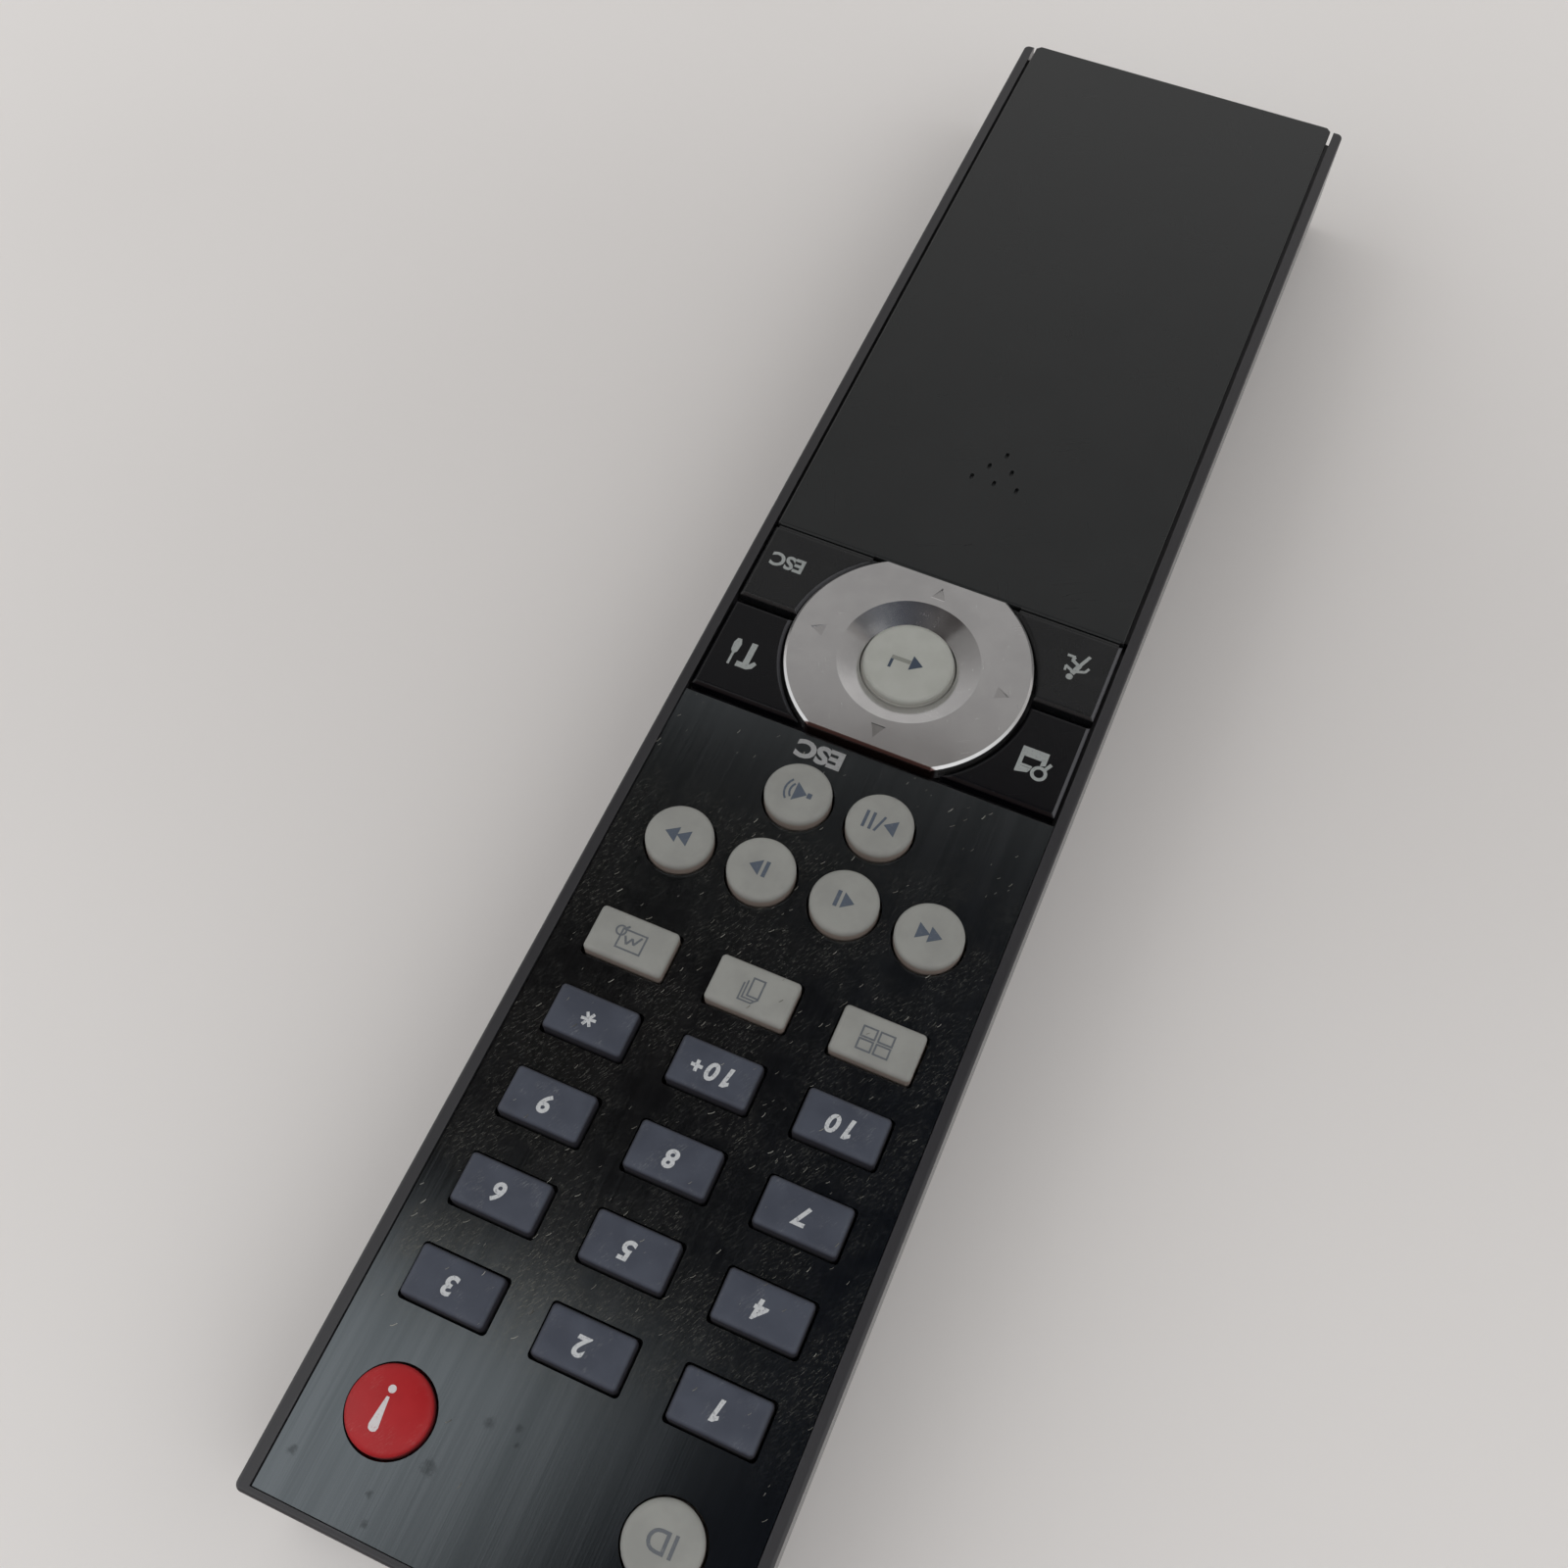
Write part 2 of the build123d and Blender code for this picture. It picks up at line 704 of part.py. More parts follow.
def control_chip():
    """The controller under the board."""
    y = front - chip_step
    return slab(-chip_length / 2, chip_length / 2, y - chip_width / 2, y + chip_width / 2,
                board_height - chip_thickness, board_height)


def resonator():
    """The clock part under the board."""
    y = front - resonator_step
    return slab(-resonator_width / 2, resonator_width / 2, y - resonator_length / 2,
                y + resonator_length / 2, board_height - resonator_thickness, board_height)


def storage_capacitor():
    """The capacitor that lies under the board."""
    y = front - capacitor_step
    z = board_height - capacitor_radius - contact_gap
    return lying_rod(0, z, capacitor_radius, y - capacitor_length / 2, y + capacitor_length / 2)


def cell_ends(side):
    """Nub tip, shoulder and flat end of a cell. The left one points to the window end."""
    wall = bay_front if side < 0 else bay_back
    step = side
    tip = wall + step * (contact_thickness + contact_gap)
    shoulder = tip + step * nub_length
    return tip, shoulder, shoulder + step * cell_length


def cell(side):
    """One AAA cell."""
    tip, shoulder, end = cell_ends(side)
    x = side * cell_pitch / 2
    body = lying_rod(x, cell_height, cell_radius, min(shoulder, end), max(shoulder, end))
    body = fillet(body.edges().filter_by(GeomType.CIRCLE), cell_edge)
    return body + lying_rod(x, cell_height, nub_radius, min(tip, shoulder), max(tip, shoulder))


def coil_spring(side):
    """The spring between a cell's flat end and its contact."""
    end = cell_ends(side)[2]
    run = spring_length - 2 * spring_wire - 2 * contact_gap
    middle = end + side * spring_length / 2
    path = Helix(run / spring_turns, run, spring_radius)
    profile = Plane(path @ 0, z_dir=path % 0) * Circle(spring_wire)
    spring = sweep(profile, path=path, is_frenet=True)
    return Pos(side * cell_pitch / 2, middle - run / 2, cell_height) * Rot(-90, 0, 0) * spring


def contact_springs():
    """One spring for each cell."""
    return Compound(children=[coil_spring(-1), coil_spring(1)])


def contact_face(side, y0, y1):
    """A contact's round face, behind one cell."""
    return lying_rod(side * cell_pitch / 2, cell_height, contact_radius, y0, y1)


def front_contacts():
    """Two contacts at the bay's front wall, each with a tab onto the board."""
    pair = []
    for side in (-1, 1):
        x = side * cell_pitch / 2
        plate = contact_face(side, bay_front - contact_thickness, bay_front)
        plate += slab(
            x - tab_width / 2, x + tab_width / 2, bay_front - contact_thickness, board_back + tab_reach,
            board_top, board_top + contact_thickness,
        )
        pair.append(plate)
    return Compound(children=pair)


def bridge_contact():
    """The contact at the bay's rear wall that joins both cells."""
    y1 = bay_back + contact_thickness
    faces = contact_face(-1, bay_back, y1) + contact_face(1, bay_back, y1)
    return faces + across(cell_pitch / 2, bay_back, y1, cell_height, cell_height + strap_height)


def case_screws():
    """Four screws that hold the casings together, with cross slots."""
    screws = []
    head_base = well_depth - screw_head_height
    slot_top = head_base + screw_slot_depth
    half = screw_slot_width / 2
    for x, y in bosses + tail_bosses:
        screw = rod(x, y, screw_head_radius, head_base, well_depth)
        screw += rod(x, y, screw_radius, well_depth, well_depth + screw_length)
        screw -= slab(x - screw_radius, x + screw_radius, y - half, y + half, head_base, slot_top)
        screw -= slab(x - half, x + half, y - screw_radius, y + screw_radius, head_base, slot_top)
        screws.append(screw)
    return Compound(children=screws)


def build():
    """Makes and writes every node."""
    save("upper_case", upper_casing())
    save("lower_case", lower_casing())
    save("face_plate", face_plate())
    save("battery_cover", battery_cover())
    save("dpad_ring", direction_ring())
    save("dpad_rocker", rocker_plate())
    save("enter_key", enter_key())
    for name, (side, ends) in corner_places.items():
        save(name, corner_key(side, ends))
    for name, (x, y) in digit_places.items():
        save(name, block_key(x, y, digit_key_width, digit_key_length, digit_key_rise, digit_key_edge))
    for name, (x, y) in menu_places.items():
        save(name, block_key(x, y, menu_key_width, menu_key_length, menu_key_rise, menu_key_edge))
    for name, (x, y) in round_places.items():
        save(name, round_key(x, y, round_key_radius, round_key_rise, round_key_edge))
    alarm_key = round_key(*alarm_place, alarm_key_radius, alarm_key_rise, round_key_edge, alarm_key_dome)
    save("alarm_key", alarm_key)
    save("keypad_mat", key_mat())
    save("circuit_board", circuit_board())
    save("ir_leds", emitters())
    save("ir_window", infrared_window())
    save("control_chip", control_chip())
    save("resonator", resonator())
    save("storage_capacitor", storage_capacitor())
    save("cell_left", cell(-1))
    save("cell_right", cell(1))
    save("contact_springs", contact_springs())
    save("front_contacts", front_contacts())
    save("bridge_contact", bridge_contact())
    save("case_screws", case_screws())


build()
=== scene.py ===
import math

import bmesh
import bpy
from mathutils import Matrix, Vector
from mathutils.bvhtree import BVHTree


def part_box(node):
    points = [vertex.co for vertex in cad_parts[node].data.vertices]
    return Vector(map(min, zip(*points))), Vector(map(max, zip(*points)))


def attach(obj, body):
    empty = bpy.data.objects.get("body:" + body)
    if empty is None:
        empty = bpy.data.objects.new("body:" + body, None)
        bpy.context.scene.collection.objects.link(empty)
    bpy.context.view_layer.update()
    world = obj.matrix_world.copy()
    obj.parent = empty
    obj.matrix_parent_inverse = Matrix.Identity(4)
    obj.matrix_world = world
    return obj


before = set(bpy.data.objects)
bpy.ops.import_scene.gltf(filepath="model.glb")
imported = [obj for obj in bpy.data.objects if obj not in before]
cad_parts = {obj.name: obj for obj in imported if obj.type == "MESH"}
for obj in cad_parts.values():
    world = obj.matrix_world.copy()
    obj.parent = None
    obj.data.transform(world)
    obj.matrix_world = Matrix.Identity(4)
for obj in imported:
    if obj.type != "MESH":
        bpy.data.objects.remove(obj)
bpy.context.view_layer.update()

# Sizes are in millimetres and become metres where a mesh, a node or a camera is made.
MM = 0.001

# Camera: its place, the ways that its right, top and back face, and its lens in pixels of the photograph
CAMERA_PLACE = (-28.4, 103.3, 183.1)
CAMERA_RIGHT = (-0.9165, -0.4001, 0.0016)
CAMERA_UP = (0.3529, -0.8065, 0.4743)
CAMERA_BACK = (-0.1885, 0.4353, 0.8803)
PHOTO_SIDE = 1600
FOCAL_PIXELS = 1680.1
SENSOR_WIDTH = 36.0

# Floor, and the room as a direction meets it, with heights from 0 at the horizon to 1 overhead
FLOOR_SIDE = 6000.0
TAIL_TONE = (0.36, 0.355, 0.35)     # the room high over the -Y end
LOW_TONE = (0.74, 0.73, 0.72)       # the room low over the -Y end
LOW_HEIGHT = (0.76, 0.58)           # heights between which the one turns into the other
WINDOW_TONE = (1.22, 1.24, 1.25)    # the room overhead and towards the +Y end
WINDOW_START = (-0.42, 0.0)         # its lean to +Y where it starts and is full
SIDE_LIGHT = 0.03                   # how much brighter the +X side is, as a share
FRONT_TONE = (0.27, 0.2, 0.182)     # the room low over the +Y end
FRONT_START = (0.58, 0.78)          # its lean to +Y where it starts and is full
FRONT_HEIGHT = (0.72, 0.52)         # heights between which the window turns into it
LOW_SHARE = 0.7                     # how much of the room's light is left near the floor
LOW_START = (0.28, 0.5)             # heights between which it grows to all of it

# A cloth flag over the remote, and grey cards beside it
FLAG_HEIGHT = 192.0
FLAG_CORNERS = (
    (-122.0, -98.0), (20.0, -92.0), (66.0, -76.0), (98.0, -66.0),
    (98.0, 150.0), (-40.0, 150.0), (-72.0, 20.0), (-122.0, -66.0),
)
FLAG_TONES = ((0.055, 0.068, 0.1), (0.042, 0.034, 0.033))       # the cloth over the keys, at -X and at +X
FLAG_TURN = (-60.0, 60.0)           # X between which the one turns into the other
FLAG_LIT = (-8.0, -45.0)            # Y between which the cloth gets lighter
FLAG_LIT_TONES = ((0.09, 0.095, 0.11), (0.085, 0.084, 0.082))   # the lighter cloth, at -X and at +X
FLAG_LIT_TURN = (-30.0, 70.0)       # X between which the one turns into the other
FLAG_HEM = (-52.0, -90.0)           # Y between which the cloth gets as light as the room behind it
FLAG_FADE_ACROSS = (-12.0, 60.0)    # the cloth thins out to nothing between these X
FLAG_FADE_ALONG = (50.0, 80.0)      # and these Y
FLAG_SLANT = 0.4                    # how far that edge leans to +X for each step along Y
CARD_CORNERS = (
    ((98.0, -66.0), (98.0, 60.0), (520.0, 60.0), (520.0, -600.0), (200.0, -600.0), (104.0, -200.0)),
    ((-122.0, -66.0), (-122.0, -98.0), (-100.0, -300.0), (-60.0, -700.0), (-420.0, -700.0),
     (-420.0, -60.0)),
)
CARD_MIDDLE = (-40.0, 60.0)         # the cards get lighter away from here
CARD_REACH = (140.0, 500.0)         # between these distances
CARD_TONES = ((0.2, 0.195, 0.19), (0.46, 0.455, 0.45))

# Printed legends
PRINT_LIFT = 0.02           # ink above the key
PRINT_DEPTH = 0.06          # ink below the key's surface
PRINT_STEP = 0.002          # each stroke stands this much over the last
PRINT_FACET = 0.6           # edges longer than this are halved, so that prints follow a domed top
PRINT_CUTS = 3              # this many times
PRINT_WELD = 0.0005         # points nearer than this are one
ABOVE_ALL = 100.0           # a height over every part
CAPITAL_SHARE = 0.7         # a capital's height, as a share of its font's size
DIGIT_HEIGHT = 2.15
DIGIT_WEIGHT = 0.1
DIGIT_SLANT = 0.16
DIGIT_SHIFT = (0.2, 0.15)   # from the key's middle
ONE_OUTLINE = (             # the digit 1, which slants like the font's digits
    (-0.45, -1.12), (0.02, -1.12), (0.52, 1.12), (0.1, 1.12), (-0.42, 0.75), (-0.36, 0.38), (-0.06, 0.5),
)
STAR_ARM = 0.84             # from the star's middle
MARK_HEIGHT = 2.0           # of the player marks on the round keys
CORNER_PLACES = {           # the middle of each corner key's mark
    "screen_search_key": (-18.2, 7.45),
    "tools_key": (18.45, 7.2),
    "motion_key": (-18.45, -7.05),
    "escape_key": (19.1, -7.2),
}
PLATE_WORD_HEIGHT = 2.5
PLATE_WORD_PLACE = (5.05, 15.8)

DIGIT_KEYS = (*(f"key_{number}" for number in range(1, 10)), "key_10", "key_10_plus", "key_star")

# Lint: fibres on a square metre, and their sizes. Hardly any lie beyond the last place along Y.
PLATE_LINT = {
    "Density": 290000.0,
    "Fibre length": 0.5 * MM,
    "Clump size": 12.0 * MM,
    "Last place": 90.0 * MM,
}
KEY_LINT = {
    "Density": 110000.0,
    "Fibre length": 0.4 * MM,
    "Clump size": 5.0 * MM,
    "Last place": 200.0 * MM,
}
FIBRE_WIDTH = 0.05
FIBRE_SLANT = 58.0          # degrees from X
FIBRE_SPREAD = 20.0         # degrees to both sides of it
FIBRE_SIZES = (0.35, 1.5)   # the shares of the length that a fibre can have
LINT_FADE = 10.0            # the lint thins out over this length
LINT_BEYOND = 0.04          # to this share
SIZE_SEED = 7
PLATE_SEED = 11
KEY_SEED = 20
TOP_BAND = 1.0              # faces this near a part's top can hold lint
TOP_LEVEL = 0.9             # where their normal's Z is over this
CAD_WELD = 0.001            # points of a CAD mesh nearer than this are one

# Direction ring, and the painted dark red-brown reflection on its +Y flat
RING_TOP = 18.15
MARK_SINK = 0.03            # what lies this far below the top is a mark
DISH_EDGE = 8.7             # from the ring's middle
PAINTED_REFLECTION_EDGE = (12.3, 12.5)   # Y from the ring's middle, where it starts and is full

# Small lips and the skirt that close gaps between parts
LIP_DROP = 0.02             # below the tops on both sides
LIP_DEPTH = 0.35
LIP_START = 9.6             # from the middle, beyond the ring
LIP_END = 22.2
COVER_LIP = (-0.6, 0.14)    # Y from the cover's edge
KEY_LIP = (0.38, 1.0)
SKIRT_RADIUS = 5.68
SKIRT_TOP = 16.75
SKIRT_DEPTH = 0.3
SKIRT_SIDES = 96

# Face plate: its top, where dust lies on it, and each smudge's place and size
PLATE_TOP = 16.65
PLATE_DUST_START = (20.0, 30.0)     # Y where the dust starts and is full
PLATE_DUST_END = (93.0, 82.0)       # Y where it ends and is still full
SMUDGES = (
    (21.2, 104.9, 0.7), (5.3, 95.4, 0.75), (2.5, 94.7, 0.5), (8.6, 101.1, 1.0),
    (12.6, 105.3, 0.5), (2.0, 96.1, 0.4), (11.7, 107.7, 0.5),
)

# What the brushed plate mirrors, between its lines and on them, and what lies on it
PLATE_DARK = (0.086, 0.096, 0.102)
PLATE_LIGHT = (0.115, 0.126, 0.134)
PLATE_FILM = (0.075, 0.068, 0.052)
PLATE_GRAINS = (0.23, 0.215, 0.175)
SMUDGE_TONE = (0.03, 0.033, 0.034)

# Other dust and wear, a painted highlight, a painted reflection and painted shade
CASE_DUST = (0.3, 0.3, 0.27)
KEY_DUST = (0.5, 0.5, 0.47)
GLOSS_DUST = (0.4, 0.4, 0.4)
# Painted highlight on the -X edges of the black corner keys
GLOSS_EDGE_HIGHLIGHT = (0.11, 0.11, 0.12)
SILVER_WEAR = (0.8, 0.79, 0.78)
# Painted dark red-brown reflection on the +Y flat of the direction ring
RING_FLAT_PAINTED_REFLECTION = (0.11, 0.064, 0.058)
# Painted shade in the engraved marks on the direction ring
RING_MARK_PAINTED_SHADE = (0.4, 0.385, 0.38)

# A cloudy pattern hardly leaves this range
CLOUD_RANGE = (0.3, 0.7)


def metres(x, y, z):
    """A point in metres."""
    return Vector((x, y, z)) * MM


def middle(node):
    """A CAD node's middle, in millimetres, at the height of its top."""
    low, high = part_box(node)
    return (low.x + high.x) / 2 / MM, (low.y + high.y) / 2 / MM, high.z / MM


def placed(name, data):
    """A new object in the scene."""
    thing = bpy.data.objects.new(name, data)
    bpy.context.scene.collection.objects.link(thing)
    return thing


def baked(thing):
    """An object's finished shape as a mesh. The object goes."""
    bpy.context.view_layer.update()
    mesh = bpy.data.meshes.new_from_object(thing.evaluated_get(bpy.context.evaluated_depsgraph_get()))
    bpy.data.objects.remove(thing)
    return mesh


def mesh_of(name, work):
    """What was built in a work mesh, as a mesh. The work mesh goes."""
    mesh = bpy.data.meshes.new(name)
    work.to_mesh(mesh)
    work.free()
    return mesh


def flat_mesh(name, outlines, height=0.0):
    """Flat faces at a height, in millimetres."""
    points, faces = [], []
    for outline in outlines:
        faces.append(range(len(points), len(points) + len(outline)))
        points.extend(metres(x, y, height) for x, y in outline)
    mesh = bpy.data.meshes.new(name)
    mesh.from_pydata(points, [], faces)
    return mesh


# Shader nodes


def put(value, socket):
    """Links a socket or sets a plain value."""
    if isinstance(value, bpy.types.NodeSocket):
        socket.id_data.links.new(value, socket)
    else:
        socket.default_value = value


def add(tree, kind, inputs=None, **settings):
    """A new node with its settings and inputs."""
    node = tree.nodes.new(kind)
    for name, value in settings.items():
        setattr(node, name, value)
    for key, value in (inputs or {}).items():
        put(value, node.inputs[key])
    return node


def calculate(operation, *values):
    """One step of arithmetic, in the tree of the sockets among its values."""
    tree = next(value.id_data for value in values if isinstance(value, bpy.types.NodeSocket))
    return add(tree, "ShaderNodeMath", dict(enumerate(values)), operation=operation).outputs[0]


def times(a, b):
    """Two values multiplied."""
    return calculate("MULTIPLY", a, b)


def minus(a, b):
    """One value less another."""
    return calculate("SUBTRACT", a, b)


def scale_of(size):
    """The scale that gives a pattern's features a size."""
    return calculate("DIVIDE", 1.0, size)


def remap(value, low, high, to_low=0.0, to_high=1.0):
    """A value moved smoothly from one range to another, and held at both ends."""
    inputs = {"Value": value, "From Min": low, "From Max": high, "To Min": to_low, "To Max": to_high}
    return add(value.id_data, "ShaderNodeMapRange", inputs, interpolation_type="SMOOTHSTEP").outputs[0]


def spread(clouds, low=0.0, high=1.0):
    """A cloudy pattern that fills a range."""
    return remap(clouds, *CLOUD_RANGE, low, high)


def mix(share, first, second):
    """Two colours mixed by a mask, from the first to the second."""
    node = add(share.id_data, "ShaderNodeMix", data_type="RGBA")
    put(share, node.inputs[0])
    for value, socket in ((first, node.inputs[6]), (second, node.inputs[7])):
        put((*value, 1.0) if isinstance(value, tuple) else value, socket)
    return node.outputs[2]


def tint(colour, tone, mask, share=1.0):
    """A colour with a tone laid over it where a mask says, up to a share."""
    return mix(times(mask, share), colour, tone)


def millimetres(tree):
    """The point on the piece, in millimetres."""
    place = tree.nodes.new("ShaderNodeTexCoord").outputs["Object"]
    return add(tree, "ShaderNodeVectorMath", {0: place, "Scale": 1 / MM}, operation="SCALE").outputs[0]


def axes(vector):
    """A vector's X, Y and Z."""
    return add(vector.id_data, "ShaderNodeSeparateXYZ", {0: vector}).outputs


def facing(tree):
    """The way that the surface faces."""
    return tree.nodes.new("ShaderNodeNewGeometry").outputs["Normal"]


def distance(place, x, y, z):
    """How far a place is from a point."""
    inputs = {0: place, 1: (x, y, z)}
    return add(place.id_data, "ShaderNodeVectorMath", inputs, operation="DISTANCE").outputs["Value"]


def rounded(radius, samples):
    """The normal of a piece whose corners have a radius, in millimetres."""
    return add(radius.id_data, "ShaderNodeBevel", {"Radius": times(radius, MM)}, samples=samples).outputs[0]


def mapped(place, scale=(1.0, 1.0, 1.0), degrees=0.0, shift=(0.0, 0.0, 0.0)):
    """A pattern's coordinates, stretched, turned on the flat and moved."""
    rotation = (0.0, 0.0, math.radians(degrees))
    inputs = {"Vector": place, "Scale": scale, "Rotation": rotation, "Location": shift}
    return add(place.id_data, "ShaderNodeMapping", inputs).outputs[0]


def noise(place, scale, detail=2.0, roughness=0.5):
    """A cloudy pattern from 0 to 1."""
    inputs = {"Vector": place, "Scale": scale, "Detail": detail, "Roughness": roughness}
    return add(place.id_data, "ShaderNodeTexNoise", inputs).outputs[0]


def bump(height, depth, normal=None):
    """A normal from a height pattern whose full range is depth, in millimetres."""
    inputs = {"Height": height, "Distance": depth * MM, "Strength": 1.0}
    if normal is not None:
        inputs["Normal"] = normal
    return add(height.id_data, "ShaderNodeBump", inputs).outputs[0]


def take_numbers(tree, numbers):
    """Number inputs of a node group, with their defaults."""
    for label, default in numbers.items():
        socket = tree.interface.new_socket(label, in_out="INPUT", socket_type="NodeSocketFloat")
        socket.default_value = default


def shader_group(name, inputs, outputs, kind="NodeSocketFloat"):
    """An empty node group with number inputs, and outputs of one kind."""
    tree = bpy.data.node_groups.new(name, "ShaderNodeTree")
    take_numbers(tree, inputs)
    for label in outputs:
        tree.interface.new_socket(label, in_out="OUTPUT", socket_type=kind)
    return tree, tree.nodes.new("NodeGroupInput").outputs, tree.nodes.new("NodeGroupOutput").inputs


def use(tree, group, **values):
    """A group's outputs in a material, with that material's own values."""
    node = tree.nodes.new("ShaderNodeGroup")
    node.node_tree = group
    for label, value in values.items():
        put(value, node.inputs[label.replace("_", " ")])
    return node.outputs


def edge_wear_group():
    """Marks the corners of a piece, broken up as handling wears them."""
    tree, given, result = shader_group("edge_wear", {"radius": 0.3, "patch size": 1.5}, ["mask"])
    normals = {0: rounded(given["radius"], 4), 1: facing(tree)}
    same = add(tree, "ShaderNodeVectorMath", normals, operation="DOT_PRODUCT").outputs["Value"]
    corner = remap(same, 0.99, 0.8)
    patches = noise(millimetres(tree), scale_of(given["patch size"]), 3.0, 0.6)
    put(times(corner, remap(patches, 0.35, 0.65)), result["mask"])
    return tree


def moulded_grain_group():
    """Fine spark-eroded grain of a moulded surface, and a slow mottling."""
    sizes = {"grain": 0.12, "mottle": 6.0}
    tree, given, result = shader_group("moulded_grain", sizes, ["height", "mottle"])
    place = millimetres(tree)
    put(noise(place, scale_of(given["grain"]), 2.0, 0.6), result["height"])
    put(noise(place, scale_of(given["mottle"]), 3.0, 0.55), result["mottle"])
    return tree


def brushed_lines_group():
    """Lines brushed along the remote: fine ones and broad bands."""
    sizes = {"line": 0.22, "band": 2.6}
    tree, given, result = shader_group("brushed_lines", sizes, ["fine", "bands"])
    place = millimetres(tree)
    kinds = (("fine", "line", 0.0, 3.0, 0.6), ("bands", "band", 7.3, 4.0, 0.62))
    for label, size, shift, detail, roughness in kinds:
        drawn_out = mapped(place, (1.0, 0.012, 1.0), shift=(shift, 0.0, 0.0))
        put(noise(drawn_out, scale_of(given[size]), detail, roughness), result[label])
    return tree


def dust_film_group():
    """Dust that settles on faces that look up, in soft clouds with brighter grains."""
    sizes = {"cloud size": 9.0, "cover": 0.5}
    tree, given, result = shader_group("dust_film", sizes, ["film", "grains"])
    place = millimetres(tree)
    upward = remap(axes(facing(tree))["Z"], 0.5, 0.95)
    clouds = noise(place, scale_of(given["cloud size"]), 5.0, 0.62)
    edge = minus(1.0, given["cover"])
    film = times(remap(clouds, edge, calculate("ADD", edge, 0.25)), upward)
    slanted = mapped(place, degrees=-60.0)
    streaks = noise(mapped(slanted, (0.28, 1.3, 1.0)), 5.0, 4.0, 0.85)
    put(film, result["film"])
    put(times(remap(streaks, 0.5, 0.66), film), result["grains"])
    return tree


def hairlines_group():
    """Sparse hairline scratches in two slanting directions."""
    tree, given, result = shader_group("hairlines", {"spacing": 5.0, "amount": 0.5}, ["mask"])
    place = millimetres(tree)
    masks = []
    for degrees, shift in ((62.0, 0.0), (-24.0, 31.0)):
        slanted = mapped(place, degrees=degrees, shift=(shift, shift, 0.0))
        close = calculate("DIVIDE", 6.0, given["spacing"])
        lines = noise(mapped(slanted, (1.0, 0.03, 1.0)), close, 2.0, 0.5)
        parts = noise(slanted, scale_of(given["spacing"]), 2.0, 0.5)
        thin = remap(calculate("ABSOLUTE", minus(lines, 0.5)), 0.006, 0.0)
        masks.append(times(thin, remap(parts, 0.55, 0.62)))
    put(times(calculate("MAXIMUM", *masks), given["amount"]), result["mask"])
    return tree


def soft_edges_group():
    """A normal that rolls over the corners of a piece, as a moulded edge does."""
    tree, given, result = shader_group("soft_edges", {"radius": 0.3}, ["normal"], "NodeSocketVector")
    put(rounded(given["radius"], 6), result["normal"])
    return tree


EDGE_WEAR = edge_wear_group()
SOFT_EDGES = soft_edges_group()
MOULDED_GRAIN = moulded_grain_group()
BRUSHED_LINES = brushed_lines_group()
DUST_FILM = dust_film_group()
HAIRLINES = hairlines_group()


# Materials


def finish_of(name, roughness=0.5, **sockets):
    """A new material, its node tree and its shader's inputs."""
    material = bpy.data.materials.new(name)
    material.use_nodes = True
    tree = material.node_tree
    shader = next(node for node in tree.nodes if node.type == "BSDF_PRINCIPLED")
    shader.inputs["Roughness"].default_value = roughness
    for label, value in sockets.items():
        shader.inputs[label.replace("_", " ")].default_value = value
    return material, tree, shader.inputs


def finished(material, shader, colour, rough, normal):
    """A material with its colour, roughness and normal."""
    put(colour, shader["Base Color"])
    put(rough, shader["Roughness"])
    put(normal, shader["Normal"])
    return material


def scratched(tree, rough, spacing, amount, dulling):
    """A roughness that is higher along hairlines."""
    lines = use(tree, HAIRLINES, spacing=spacing, amount=amount)["mask"]
    return calculate("MULTIPLY_ADD", lines, dulling, rough)


def satin_plastic(name, dark, light, grain, depth, roughness):
    """Moulded satin plastic with grain, mottling, hairlines and polished sides and corners."""
    material, tree, shader = finish_of(name, roughness)
    skin = use(tree, MOULDED_GRAIN, grain=grain, mottle=11.0)
    worn = use(tree, EDGE_WEAR, radius=0.35, patch_size=3.0)["mask"]
    lines = use(tree, HAIRLINES, spacing=9.0, amount=0.5)["mask"]
    dust = use(tree, DUST_FILM, cloud_size=14.0, cover=0.42)
    colour = mix(skin["mottle"], dark, light)
    colour = tint(colour, tuple(2.2 * c for c in light), worn, 0.5)
    colour = tint(colour, CASE_DUST, dust["grains"], 0.1)
    side = remap(calculate("ABSOLUTE", axes(facing(tree))["X"]), 0.75, 0.95)
    rough = spread(skin["mottle"], roughness - 0.015, roughness + 0.02)
    for mask, polish in ((worn, 0.12), (side, 0.22), (lines, 0.15)):
        rough = minus(rough, times(mask, polish))
    return finished(material, shader, colour, rough, bump(skin["height"], depth))


def smudge_mask(place):
    """The ragged smudges on the face plate."""
    mask = 0.0
    for x, y, size in SMUDGES:
        far = minus(distance(place, x, y, PLATE_TOP), 1.1 * size)
        ragged = calculate("MULTIPLY_ADD", noise(place, 2.2, 4.0, 0.8), 2.2 * size, far)
        mask = calculate("MAXIMUM", mask, remap(ragged, size, 0.1 * size))
    return mask


